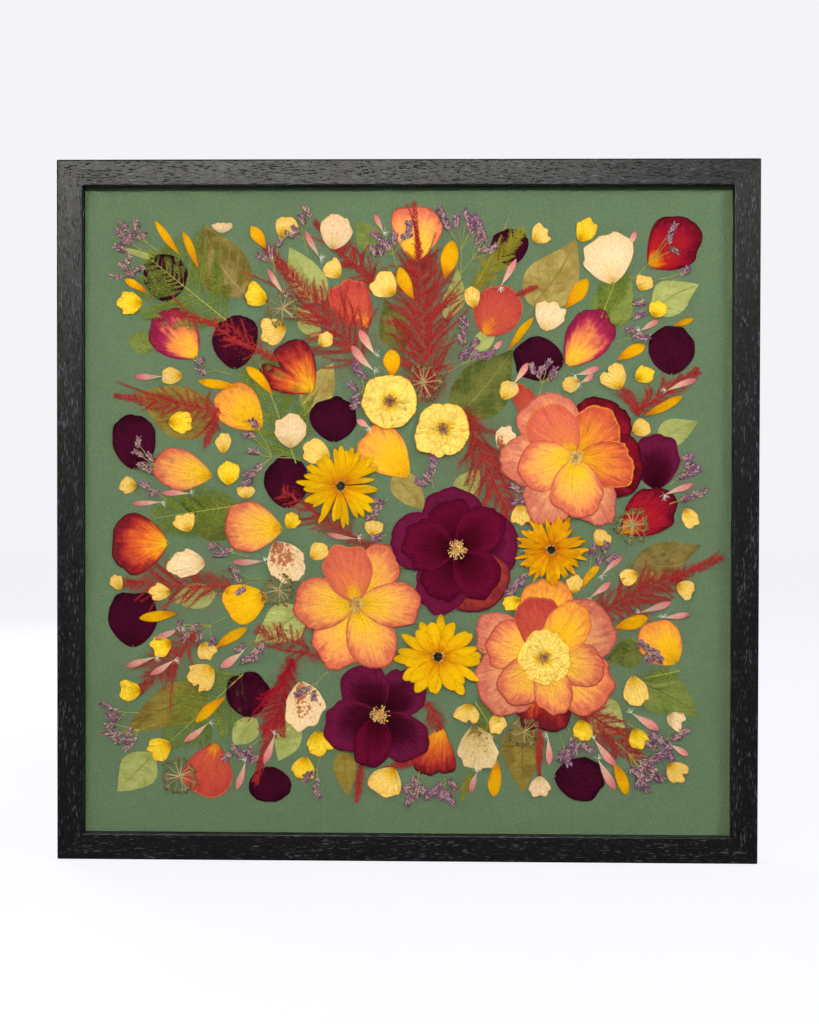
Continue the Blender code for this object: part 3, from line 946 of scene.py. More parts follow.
class Press:
    """Gathers grids, ribbons and flakes in board millimetres, and makes them one mesh.

    Attributes:
        ribbon_taper: How wide a ribbon ends, as a share of its start.
        ribbon_ridge: How high its ridge is, as a share of its half width.
        flake_belly: How far along a flake is broadest.
        flake_droop: How high its tip is, as a share of its rise.
    """

    ribbon_taper = 0.6
    ribbon_ridge = 0.9
    flake_belly = 0.55
    flake_droop = 0.3

    def __init__(self) -> None:
        """Start with nothing in it."""
        self.points: list[np.ndarray] = []
        self.spreads: list[np.ndarray] = []
        self.picks: list[np.ndarray] = []
        self.faces: list[np.ndarray] = []
        self.total = 0

    def add(self, points: np.ndarray, spread: np.ndarray, picks: np.ndarray, faces: np.ndarray) -> None:
        """Add points and the faces between them.

        Args:
            points: The (n, 3) points.
            spread: Their place across and along the petal or thread.
            picks: Their picks.
            faces: The four-sided faces, as rows of point numbers.
        """
        self.points.append(points)
        self.spreads.append(spread)
        self.picks.append(picks)
        self.faces.append(faces + self.total)
        self.total += len(points)

    def grid(self, shape: Surface, pick: float) -> None:
        """Add a petal or leaf.

        Args:
            shape: Its points and its place across and along, as fan and blade return them.
            pick: The number that sets it apart.
        """
        points, spread = shape
        rows, columns = points.shape[:2]
        index = np.arange(rows * columns).reshape(rows, columns)
        faces = np.stack([index[:-1, :-1], index[:-1, 1:], index[1:, 1:], index[1:, :-1]], -1).reshape(-1, 4)
        flat = points.reshape(-1, 3)
        first, second = flat[faces[:, 2]] - flat[faces[:, 0]], flat[faces[:, 3]] - flat[faces[:, 1]]
        if (first[:, 0] * second[:, 1] - first[:, 1] * second[:, 0]).sum() < 0:
            faces = faces[:, ::-1]
        self.add(flat, spread.reshape(-1, 2), np.full(len(flat), pick), faces)

    def ribbons(self, start: np.ndarray, end: np.ndarray, width: object, pick: object) -> None:
        """Add straight ribbons, each with a ridge along its middle.

        Args:
            start: The (n, 3) points that they start at.
            end: The points that they end at.
            width: Their widths at the start.
            pick: Their picks.
        """
        count = len(start)
        run = (end - start)[:, :2]
        beside = np.stack([-run[:, 1], run[:, 0]], 1) / (np.linalg.norm(run, axis=1, keepdims=True) + 1e-9)
        half = np.broadcast_to(np.asarray(width, float) / 2, (count,))[:, None]
        rise = np.zeros((count, 3))
        rise[:, 2] = half[:, 0] * self.ribbon_ridge
        side = np.c_[beside * half, np.zeros(count)]
        far_side, far_rise = side * self.ribbon_taper, rise * self.ribbon_taper
        near = [start - side, start + rise, start + side]
        points = np.stack([*near, end - far_side, end + far_rise, end + far_side], 1)
        index = np.arange(count)[:, None] * 6
        faces = np.concatenate([index + [0, 3, 4, 1], index + [1, 4, 5, 2]])[:, ::-1]
        spread = np.tile(np.array([[0, 0], [0.5, 0], [1, 0], [0, 1], [0.5, 1], [1, 1]], float), (count, 1))
        picks = np.repeat(np.broadcast_to(np.asarray(pick, float), (count,)), 6)
        self.add(points.reshape(-1, 3), spread, picks, faces)

    def flakes(self, foot: np.ndarray, aim: np.ndarray, length: object, breadth: object, pick: object,
               rise: float = 0.35) -> None:
        """Add small pointed scales.

        Args:
            foot: The (n, 3) points that they grow from.
            aim: Their directions, in radians.
            length: Their lengths.
            breadth: Their breadths.
            pick: Their picks.
            rise: How far their middles stand above their feet, as a share of their length.
        """
        count = len(foot)
        length = np.broadcast_to(np.asarray(length, float), (count,))[:, None]
        breadth = np.broadcast_to(np.asarray(breadth, float), (count,))[:, None]
        ahead = np.stack([np.cos(aim), np.sin(aim), np.zeros(count)], 1)
        beside = np.stack([-np.sin(aim), np.cos(aim), np.zeros(count)], 1)
        up = np.array([0, 0, 1.0])
        middle = foot + ahead * length * self.flake_belly + up * length * rise * 0.5
        tip = foot + ahead * length + up * length * rise * self.flake_droop
        points = np.stack([foot, middle - beside * breadth / 2, tip, middle + beside * breadth / 2], 1)
        faces = np.arange(count)[:, None] * 4 + [0, 1, 2, 3]
        spread = np.tile(np.array([[0.5, 0], [0, 0.5], [0.5, 1], [1, 0.5]], float), (count, 1))
        picks = np.repeat(np.broadcast_to(np.asarray(pick, float), (count,)), 4)
        self.add(points.reshape(-1, 3), spread, picks, faces)

    def mount(self, name: str, finish: Finish, *nodes: str) -> bpy.types.Object:
        """Make the mesh, dress it, and fix it in the frame.

        Args:
            name: The piece's name.
            finish: Its finish.
            *nodes: The CAD nodes that it stands for.

        Returns:
            The piece.
        """
        points = np.concatenate(self.points)
        faces = np.concatenate(self.faces)
        world = np.stack(
            [MIDDLE_X + points[:, 0] * MM, BOARD_Y - points[:, 2] * MM, MIDDLE_Z + points[:, 1] * MM], 1
        )
        mesh = bpy.data.meshes.new(name)
        mesh.from_pydata(world.tolist(), [], faces.tolist())
        mesh.shade_smooth()
        layer = mesh.uv_layers.new(name=PRESS_MAP)
        layer.uv.foreach_set("vector", np.concatenate(self.spreads)[faces.ravel()].astype(np.float32).ravel())
        pick = mesh.attributes.new(PICK, "FLOAT", "POINT")
        pick.data.foreach_set("value", np.concatenate(self.picks).astype(np.float32))
        mesh.materials.append(finish.dressed())
        piece = bpy.data.objects.new(name, mesh)
        bpy.context.scene.collection.objects.link(piece)
        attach(piece, BODY)
        if nodes:
            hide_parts(*nodes)
        LOG.info("%s: %d faces", name, len(faces))
        return piece


# --- leaves and single petals


@dataclass(frozen=True)
class Leaf:
    """One pressed leaf.

    Attributes:
        name: Its name, which is its CAD node's if it has one.
        base: Its stalk end, in millimetres from the board's middle.
        tip: Its tip.
        breadth: How broad it is.
        finish: Its finish.
        belly: Where it is broadest.
        bend: How far its midrib bows.
        teeth: How toothed its edge is.
        point: How drawn out its tip is.
    """

    name: str
    base: tuple
    tip: tuple
    breadth: float
    finish: Finish
    belly: float = 0.75
    bend: float = 0.0
    teeth: float = 0.0
    point: float = 0.35


@dataclass
class Leaves:
    """The pressed leaves, which lie under everything else.

    Attributes:
        lift: How far they lie above the board.
        seed: Where their uneven turns come from.
        stalk: How long a stalk is.
        stalk_width: How wide it is.
        fullness: How pointed their ends are.
        wave: How far they stand up and down.
        leaves: The leaves that stand for CAD nodes.
        small_leaves: The others.
    """

    lift: float = Lift.LEAF.value
    seed: int = 11
    stalk: float = 4.5
    stalk_width: float = 0.9
    fullness: float = 0.85
    wave: float = 0.2
    leaves: tuple = (
        Leaf("leaf_brown_top_left", (-124, 162), (-158, 217), 40, Finish.LEAF_BROWN, 0.8, 5.0),
        Leaf("leaf_pale_top", (-64, 157), (-90, 199), 27, Finish.LEAF_PALE, 0.85, 1.0, 0.02),
        Leaf("leaf_tan_top_right", (94, 153), (128, 205), 41, Finish.LEAF_TAN, 0.7, -3.0),
        Leaf("leaf_pale_right", (184, 152), (219, 172), 27, Finish.LEAF_PALE, 0.8, 2.0, 0.02),
        Leaf("leaf_striped_middle", (36, 70), (80, 122), 42, Finish.LEAF_DARK, 0.8, -2.0),
        Leaf("leaf_olive_left", (-145, 64), (-206, 89), 40, Finish.LEAF_OLIVE, 0.8),
        Leaf("leaf_dark_left", (-126, -16), (-172, 8), 34, Finish.LEAF_DARK, 0.85),
        Leaf("leaf_brown_right", (169, -52), (222, -23), 30, Finish.LEAF_BROWN, 0.75, 4.0),
        Leaf("leaf_olive_low_left", (-152, -137), (-215, -167), 35, Finish.LEAF_OLIVE, 0.65, -3.0),
        Leaf("leaf_pale_low_left", (-192, -186), (-220, -214), 28, Finish.LEAF_PALE, 0.9, 0.0, 0.02),
        Leaf("leaf_green_low_right", (176, -127), (220, -152), 33, Finish.LEAF_GREEN, 0.75, 3.0),
        Leaf("leaf_brown_bottom", (88, -161), (88, -214), 32, Finish.LEAF_OLIVE, 0.6),
    )
    small_leaves: tuple = (
        Leaf("leaf_olive_upper_right", (146, 141), (168, 178), 32, Finish.LEAF_GREEN),
        Leaf("leaf_bright_left", (-191, 124), (-212, 131), 18, Finish.LEAF_GREEN, 0.9),
        Leaf("leaf_pale_upper", (-66, 131), (-86, 155), 15, Finish.LEAF_PALE, 0.9),
        Leaf("leaf_green_top", (-22, 196), (-38, 219), 20, Finish.LEAF_GREEN, 0.8),
        Leaf("leaf_mottled_middle", (-4, 121), (-17, 160), 24, Finish.LEAF_DARK, 0.8),
        Leaf("leaf_pale_top_middle", (29, 145), (38, 183), 16, Finish.LEAF_PALE, 0.8, -3.0),
        Leaf("leaf_small_upper_right", (51, 121), (67, 140), 14, Finish.LEAF_PALE, 0.9),
        Leaf("leaf_pale_far_right", (188, 50), (219, 68), 21, Finish.LEAF_PALE, 0.8, 2.0, 0.02),
        Leaf("leaf_tan_middle", (-10, 28), (14, 1), 22, Finish.LEAF_TAN, 0.8),
        Leaf("leaf_pale_middle", (39, 6), (54, 33), 22, Finish.LEAF_PALE, 0.8),
        Leaf("leaf_pale_left", (-145, -63), (-179, -68), 20, Finish.LEAF_PALE, 0.85),
        Leaf("leaf_green_left", (-77, -76), (-115, -99), 30, Finish.LEAF_PALE, 0.8),
        Leaf("leaf_velvet_right", (180, -103), (151, -112), 22, Finish.LEAF_DARK, 0.85),
        Leaf("leaf_pale_low", (-114, -158), (-132, -178), 20, Finish.LEAF_PALE, 0.9),
        Leaf("leaf_pale_low_middle", (-84, -159), (-97, -190), 21, Finish.LEAF_PALE, 0.9, 0.0, 0.02),
        Leaf("leaf_olive_bottom", (-48, -183), (-44, -218), 18, Finish.LEAF_OLIVE, 0.6),
        Leaf("leaf_tan_behind", (-76, 75), (-56, 112), 25, Finish.LEAF_TAN, 0.8),
        Leaf("leaf_pale_low_right", (139, -145), (166, -169), 27, Finish.LEAF_PALE, 0.8),
        Leaf("leaf_thin_left", (-187, 189), (-217, 199), 5, Finish.LEAF_PALE, 1.0),
    )

    def build(self) -> None:
        """Build each leaf with its stalk."""
        rng = np.random.default_rng(self.seed)
        for leaf in (*self.leaves, *self.small_leaves):
            nodes = [leaf.name] if leaf in self.leaves else []
            press = Press()
            shape = blade(
                leaf.base, leaf.tip, leaf.breadth, rng, leaf.belly, self.fullness, leaf.bend, leaf.teeth,
                self.lift, wave=self.wave, point=leaf.point,
            )
            if nodes:
                shape = (fitted(shape[0], leaf.name), shape[1])
            press.grid(shape, rng.uniform())
            run = np.subtract(leaf.base, leaf.tip) / math.dist(leaf.base, leaf.tip)
            foot = np.array([[*leaf.base, self.lift]])
            press.ribbons(foot, foot + [[*(run * self.stalk), 0.0]], self.stalk_width, 0.5)
            press.mount(leaf.name, leaf.finish, *nodes)


@dataclass(frozen=True)
class Petal:
    """One large pressed petal.

    Attributes:
        name: Its name, which is its CAD node's if it has one.
        base: Where it was attached, in millimetres from the board's middle.
        tip: The far end of its rim.
        breadth: How broad it is.
        finish: Its finish.
        taper: How much it narrows to its base.
        wave: How uneven its rim is.
        notch: How deep the nick in its rim is.
    """

    name: str
    base: tuple
    tip: tuple
    breadth: float
    finish: Finish
    taper: float = 0.15
    wave: float = 0.03
    notch: float = 0.0


@dataclass
class SinglePetals:
    """The large single petals.

    Attributes:
        lift: How far they lie above the board.
        seed: Where their uneven turns come from.
        petals: The petals that stand for CAD nodes.
        more_petals: The others.
    """

    lift: float = Lift.PETAL.value
    seed: int = 23
    petals: tuple = (
        Petal("petal_burgundy_top_left", (-183, 158), (-183, 194), 34, Finish.BURGUNDY),
        Petal("petal_burgundy_upper_left", (-131, 107), (-130, 148), 35, Finish.BURGUNDY),
        Petal("petal_burgundy_top_right", (78, 185), (76, 213), 29, Finish.BURGUNDY),
        Petal("petal_burgundy_upper_right", (118, 113), (80, 117), 34, Finish.BURGUNDY),
        Petal("petal_burgundy_right", (199, 103), (199, 140), 35, Finish.BURGUNDY),
        Petal("petal_burgundy_left", (-207, 31), (-207, 73), 33, Finish.BURGUNDY),
        Petal("petal_burgundy_middle", (-56, 52), (-56, 87), 36, Finish.BURGUNDY),
        Petal("petal_burgundy_far_right", (188, 17), (188, 59), 36, Finish.WINE),
        Petal("petal_burgundy_low_left", (-208, -104), (-208, -62), 38, Finish.BURGUNDY),
        Petal("petal_burgundy_lower_left", (-120, -157), (-120, -122), 34, Finish.BURGUNDY),
        Petal("petal_burgundy_bottom_right", (112, -200), (150, -204), 34, Finish.BURGUNDY),
        Petal("petal_peach_top", (6, 187), (8, 230), 39, Finish.PEACH, 0.5),
        Petal("petal_crimson_top_right", (182, 185), (217, 215), 41, Finish.CRIMSON, 0.35),
        Petal("petal_magenta_upper_left", (-160, 116), (-190, 149), 38, Finish.MAGENTA, 0.3),
        Petal("petal_magenta_upper_right", (121, 110), (151, 150), 36, Finish.MAGENTA, 0.35),
        Petal("petal_flame_left", (-181, -25), (-224, -26), 48, Finish.FLAME, 0.35),
        Petal("petal_coral_low_left", (-145, -176), (-156, -218), 40, Finish.BRICK, 0.4),
    )
    more_petals: tuple = (
        Petal("petal_burgundy_centre_left", (-91, 2), (-91, 40), 35, Finish.BURGUNDY),
        Petal("petal_burgundy_bottom", (-104, -194), (-103, -221), 33, Finish.BURGUNDY),
        Petal("petal_brick_upper_right", (58, 133), (77, 168), 37, Finish.BRICK),
        Petal("petal_brick_upper_left", (-29, 138), (-52, 172), 31, Finish.BRICK, 0.35),
        Petal("petal_flame_two_lobed", (-71, 90), (-102, 122), 44, Finish.FLAME, 0.4, 0.02, 0.3),
        Petal("petal_amber_left", (-110, 62), (-141, 91), 34, Finish.AMBER, 0.35),
        Petal("petal_peach_left", (-147, 26), (-191, 34), 33, Finish.PEACH, 0.45),
        Petal("petal_peach_lower_left", (-94, -14), (-138, -11), 39, Finish.PEACH, 0.35),
        Petal("petal_amber_veined", (2, 26), (-32, 60), 36, Finish.AMBER, 0.45),
        Petal("petal_crimson_right", (162, -16), (199, 12), 36, Finish.CRIMSON, 0.35),
        Petal("petal_flame_bottom", (27, -161), (18, -201), 34, Finish.FLAME, 0.8, 0.03, 0.1),
        Petal("petal_gold_left", (-105, -64), (-138, -75), 31, Finish.GOLD, 0.45),
        Petal("petal_amber_low_right", (204, -114), (181, -86), 34, Finish.AMBER, 0.2),
        Petal("petal_dark_sliver", (98, 66), (82, 96), 16, Finish.BRICK, 0.2),
    )

    def build(self) -> None:
        """Build each petal."""
        rng = np.random.default_rng(self.seed)
        for petal in (*self.petals, *self.more_petals):
            nodes = [petal.name] if petal in self.petals else []
            press = Press()
            points, spread = fan(
                petal.base, petal.tip, petal.breadth, rng, petal.taper, petal.wave,
                lift=self.lift, notch=petal.notch,
            )
            if nodes:
                points = fitted(points, petal.name)
            press.grid((points, spread), rng.uniform())
            press.mount(petal.name, petal.finish, *nodes)


# --- blooms, calendulas and rosettes


def reached(middle: tuple, direction: float, reach: float) -> tuple[float, float]:
    """The point at this reach and direction, in degrees, from a middle."""
    turn = math.radians(direction)
    return middle[0] + reach * math.cos(turn), middle[1] + reach * math.sin(turn)


@dataclass
class Bloom:
    """A bloom of petals laid round its stamens, from the lowest petal to the top one.

    Attributes:
        name: Its CAD node's name.
        middle: Its middle, in millimetres from the board's middle.
        petals: Each petal's direction in degrees, reach, half breadth and finish.
        stamens: How far its stamens reach.
        seed: Where its small uneven turns come from.
        lift: How far its lowest petal lies above the board.
        step: How much higher each petal lies than the one under it.
        start: How far from the middle a petal starts.
        taper: How much a petal narrows to its base.
        ruffle: How far its rims stand up and down.
        joined: Whether its petals are one piece, so ruffled that they cut into one another.
        tuft: The finish of its stamens.
        grid: Grid rows and columns of a petal.
        wave: How uneven its rims are.
        cup: How far the rims of a joined bloom stand above their bases.
        cup_share: How far the rims of other blooms do, as a share of the step.
        room_share: How much of the step a petal's waves may take, so that no petal pokes through the next.
        stamen_count: How many stamens it has.
        anther_count: How many anthers lie at its very middle.
    """

    name: str
    middle: tuple
    petals: tuple
    stamens: float
    seed: int
    lift: float = Lift.BLOOM.value
    step: float = 0.15
    start: float = 1.0
    taper: float = 0.22
    ruffle: float = 0.12
    joined: bool = False
    tuft: Finish = Finish.STAMEN
    grid: tuple = (16, 80)
    wave: float = 0.03
    cup: float = 0.2
    cup_share: float = 0.38
    room_share: float = 0.3
    stamen_count: int = 90
    anther_count: int = 40

    def build(self) -> None:
        """Build the petals and the stamens."""
        rng = np.random.default_rng(self.seed)
        press = Press()
        lift = self.lift
        cup, room = self.cup, FREE
        if not self.joined:
            cup, room = self.step * self.cup_share, self.step * self.room_share
        for number, (direction, reach, half, finish) in enumerate(self.petals, 1):
            base = reached(self.middle, direction, self.start)
            tip = reached(self.middle, direction, reach)
            shape = fan(
                base, tip, half * 2, rng, self.taper, self.wave, self.ruffle, cup, lift, *self.grid, room=room
            )
            press.grid(shape, rng.uniform())
            lift += self.step
            if not self.joined or number == len(self.petals):
                press.mount(self.name if self.joined else f"{self.name}_petal_{number}", finish, self.name)
                press = Press()
        self.add_stamens(rng, lift)

    def add_stamens(self, rng: Chance, lift: float) -> None:
        """Add the tuft of stamens in the middle, if the bloom shows one.

        Args:
            rng: Where the uneven turns come from.
            lift: How far the tuft lies above the board.
        """
        if not self.stamens:
            return
        count, anthers = self.stamen_count, self.anther_count
        press = Press()
        turn = rng.uniform(0, math.tau, count)
        reach = self.stamens * rng.uniform(0.3, 1.05, count)
        start = np.c_[np.tile(self.middle, (count, 1)) + rng.normal(0, 0.8, (count, 2)), np.full(count, lift)]
        run = np.stack([np.cos(turn) * reach, np.sin(turn) * reach, rng.uniform(0, 0.3, count)], 1)
        press.ribbons(start, start + run, 0.4, rng.uniform(0.0, 1, count))
        press.flakes(start + run, turn + rng.normal(0, 0.7, count), 1.5, 1.0, rng.uniform(0.3, 1, count), 0.2)
        places = np.tile(self.middle, (anthers, 1)) + rng.normal(0, self.stamens / 5, (anthers, 2))
        spots = np.c_[places, np.full(anthers, lift + 0.25)]
        press.flakes(spots, rng.uniform(0, math.tau, anthers), 1.3, 0.9, rng.uniform(0, 0.5, anthers), 0.2)
        press.mount(f"{self.name}_stamens", self.tuft)


@dataclass
class Rosette(Bloom):
    """A cream rosette: small petals so ruffled that they cut into one another, joined in one piece."""

    lift: float = Lift.ROSETTE.value
    step: float = 0.07
    ruffle: float = 0.34
    joined: bool = True
    tuft: Finish = Finish.ROSETTE_HEART


BLOOMS = (
    Bloom(
        "bloom_peach_right", (127, 41),
        (
            (50, 51, 24, Finish.CRIMSON), (-12, 53, 24, Finish.CRIMSON), (-68, 54, 18, Finish.ROSY),
            (128, 55, 24, Finish.ROSY), (238, 57, 20, Finish.ROSY), (184, 57, 20, Finish.ROSY),
            (52, 43, 19, Finish.COPPER), (-12, 45, 18, Finish.COPPER), (130, 46, 20, Finish.CORAL),
            (194, 44, 19, Finish.PEACH), (-88, 45, 20, Finish.PEACH),
        ),
        5.0, 31,
    ),
    Bloom(
        "bloom_peach_left", (-38, -70),
        (
            (246, 53, 20, Finish.PEACH), (-67, 52, 19, Finish.PEACH), (60, 50, 17, Finish.PEACH),
            (-2, 50, 17, Finish.PEACH), (180, 48, 20, Finish.PEACH), (104, 46, 18.5, Finish.CORAL),
        ),
        5.5, 32, step=0.2,
    ),
    Bloom(
        "bloom_peach_low_right", (104, -110),
        (
            (-91, 57, 23, Finish.FLAME), (87, 60, 21, Finish.AMBER), (155, 57, 18, Finish.ROSY),
            (213, 58, 26, Finish.ROSY), (-34, 59, 23, Finish.PEACH), (33, 60, 24, Finish.ROSY),
            (-12, 46, 17, Finish.PEACH), (160, 46, 19, Finish.PEACH), (98, 47, 17.5, Finish.BRICK),
            (52, 48, 17, Finish.AMBER), (229, 43, 18, Finish.PEACH), (-75, 45, 14.5, Finish.PEACH),
        ),
        0.0, 33, step=0.17,
    ),
    Bloom(
        "bloom_burgundy_middle", (38, -29),
        (
            (98, 47, 23, Finish.WINE), (11, 46, 25, Finish.WINE), (-58, 51, 25, Finish.WINE_RUSTY),
            (247, 51, 20, Finish.WINE), (168, 51, 22, Finish.WINE), (101, 38, 17, Finish.WINE_DEEP),
            (245, 40, 17.5, Finish.WINE_DEEP), (-50, 42, 18, Finish.WINE_DEEP),
            (40, 41, 18, Finish.WINE_DEEP), (173, 41, 19.5, Finish.WINE_DEEP),
        ),
        6.5, 34,
    ),
    Bloom(
        "bloom_burgundy_low", (-20, -154),
        (
            (44, 41, 19, Finish.WINE), (121, 40, 19.5, Finish.WINE), (-47, 43, 19.5, Finish.WINE),
            (201, 44, 20, Finish.WINE), (256, 41, 14.5, Finish.WINE_DEEP),
        ),
        6.0, 35, step=0.2,
    ),
    Rosette(
        "rosette_upper", (-13, 83),
        (
            (20, 20.5, 14, Finish.ROSETTE), (92, 20, 14, Finish.ROSETTE), (160, 21, 14, Finish.ROSETTE),
            (232, 20.5, 14, Finish.ROSETTE), (304, 20.5, 14, Finish.ROSETTE),
            (60, 15, 10, Finish.ROSETTE), (180, 16, 11, Finish.ROSETTE), (290, 15, 10, Finish.ROSETTE),
        ),
        3.0, 51,
    ),
    Rosette(
        "rosette_second", (27, 62),
        (
            (-100, 21, 9, Finish.ROSETTE), (-55, 21, 10, Finish.ROSETTE), (-5, 20, 13, Finish.ROSETTE),
            (45, 20.5, 13, Finish.ROSETTE), (100, 19.5, 13, Finish.ROSETTE),
            (160, 20, 12, Finish.ROSETTE), (215, 23, 11, Finish.ROSETTE), (20, 15, 10, Finish.ROSETTE),
            (120, 14, 10, Finish.ROSETTE), (240, 13, 8, Finish.ROSETTE),
        ),
        3.2, 52,
    ),
    Rosette(
        "rosette_low", (104, -110),
        (
            (95, 21, 13, Finish.ROSETTE), (30, 19, 13, Finish.ROSETTE), (-35, 20.5, 13, Finish.ROSETTE),
            (-100, 21, 12, Finish.ROSETTE), (165, 19, 13, Finish.ROSETTE), (220, 18, 11, Finish.ROSETTE),
            (60, 14, 10, Finish.ROSETTE), (180, 14, 10, Finish.ROSETTE), (-60, 14, 10, Finish.ROSETTE),
        ),
        2.0, 53,
        lift=3.15, step=0.05, ruffle=0.28,
    ),
)


@dataclass
class Calendula:
    """A whole pressed calendula: rings of ray florets round a dark heart.

    Attributes:
        name: Its CAD node's name.
        middle: Its middle.
        radius: Its radius.
        finish: The rays' finish.
        seed: Where its uneven turns come from.
        rays: How many rays a ring has.
        rings: How many rings it has.
        breadth: How broad a ray is, in millimetres.
        heart: The heart's radius.
        uneven: How much the rays differ in length.
        fan_play: How far a ray turns from its even place, in degrees.
        foot_play: How far its foot does.
        inset: How much shorter each ring is than the one under it, as a share of the radius.
        ring_rise: How much higher each ring lies.
        weave: How much higher every third ray lies than its neighbours.
        florets: How many florets the heart has.
        pale_florets: How many pale ones ring it.
    """

    name: str
    middle: tuple
    radius: float
    finish: Finish
    seed: int
    rays: int
    rings: int
    breadth: float
    heart: float = 2.6
    uneven: float = 0.24
    fan_play: float = 4.5
    foot_play: float = 8.0
    inset: float = 0.1
    ring_rise: float = 0.2
    weave: float = 0.25
    florets: int = 120
    pale_florets: int = 40

    def build(self) -> None:
        """Build the rays and the heart."""
        rng = np.random.default_rng(self.seed)
        press = Press()
        for ring in range(self.rings):
            for k in range(self.rays):
                direction = 360 * (k + 0.5 * ring) / self.rays + rng.normal(0, self.fan_play)
                reach = self.radius * (1 - self.inset * ring) * (1 - rng.uniform(0, self.uneven))
                tip = reached(self.middle, direction, reach)
                base = reached(self.middle, direction + rng.normal(0, self.foot_play), self.radius * 0.06)
                breadth = self.breadth * rng.uniform(0.7, 1.2)
                lift = Lift.HEAD.value + self.ring_rise * ring + self.weave * ((k * 7 + ring) % 3) / 3
                shape = blade(base, tip, breadth, rng, 1.45, 0.5, rng.normal(0, 0.7), 0, lift, 16, 7, 0.2)
                press.grid(shape, rng.uniform())
        press.mount(self.name, self.finish, self.name)
        self.add_heart(rng)

    def add_heart(self, rng: Chance) -> None:
        """Build the dark heart of short pointed florets, ringed by a few pale ones.

        Args:
            rng: Where the uneven turns come from.
        """
        heart, ring = Press(), Press()
        count, pales = self.florets, self.pale_florets
        turn = rng.uniform(0, math.tau, count)
        reach = self.heart * np.sqrt(rng.uniform(0, 1, count))
        lift = Lift.HEAD.value + self.ring_rise * self.rings + 0.35
        ahead = np.stack([np.cos(turn), np.sin(turn)], 1)
        foot = np.c_[self.middle + ahead * reach[:, None], np.full(count, lift)]
        aim, length = turn + rng.normal(0, 0.4, count), rng.uniform(0.8, 1.8, count)
        heart.flakes(foot, aim, length, 0.7, rng.uniform(0, 0.6, count))
        heart.mount(f"{self.name}_heart", Finish.HEART)
        pale = np.c_[self.middle + ahead[:pales] * self.heart, np.full(pales, lift)]
        length, picks = rng.uniform(1.2, 3.2, pales), rng.uniform(0.6, 1, pales)
        ring.flakes(pale, turn[:pales], length, 0.4, picks, 0.1)
        ring.mount(f"{self.name}_ring", Finish.STAMEN)


CALENDULAS = (
    Calendula("calendula_upper", (-50, 19), 34.5, Finish.CALENDULA, 41, 17, 2, 5.6),
    Calendula("calendula_low", (24, -110), 36.5, Finish.CALENDULA, 42, 12, 2, 9.6),
    Calendula("calendula_right", (109, -29), 29.0, Finish.CALENDULA_DEEP, 43, 22, 3, 3.9, 2.2, 0.2),
)


# --- small petals and florets


@dataclass
class SmallPetals:
    """Small rose petals of one finish, joined in one mesh.

    Attributes:
        name: The piece's name.
        finish: Their finish.
        seed: Where their uneven turns come from.
        petals: Each petal's middle, breadth, length, the way from base to tip in degrees, and its nick.
    """

    name: str
    finish: Finish
    seed: int
    petals: tuple

    def build(self) -> None:
        """Build them all."""
        rng = np.random.default_rng(self.seed)
        press = Press()
        for x, y, breadth, length, aim, *nick in self.petals:
            base = reached((x, y), aim + 180, length / 2)
            tip = reached((x, y), aim, length / 2)
            lift = Lift.CREAM.value + rng.uniform(0, 0.1)
            shape = fan(base, tip, breadth, rng, 0.25, 0.055, 0.2, 0.25, lift, 9, 48, *nick)
            press.grid(shape, rng.uniform())
        press.mount(self.name, self.finish)


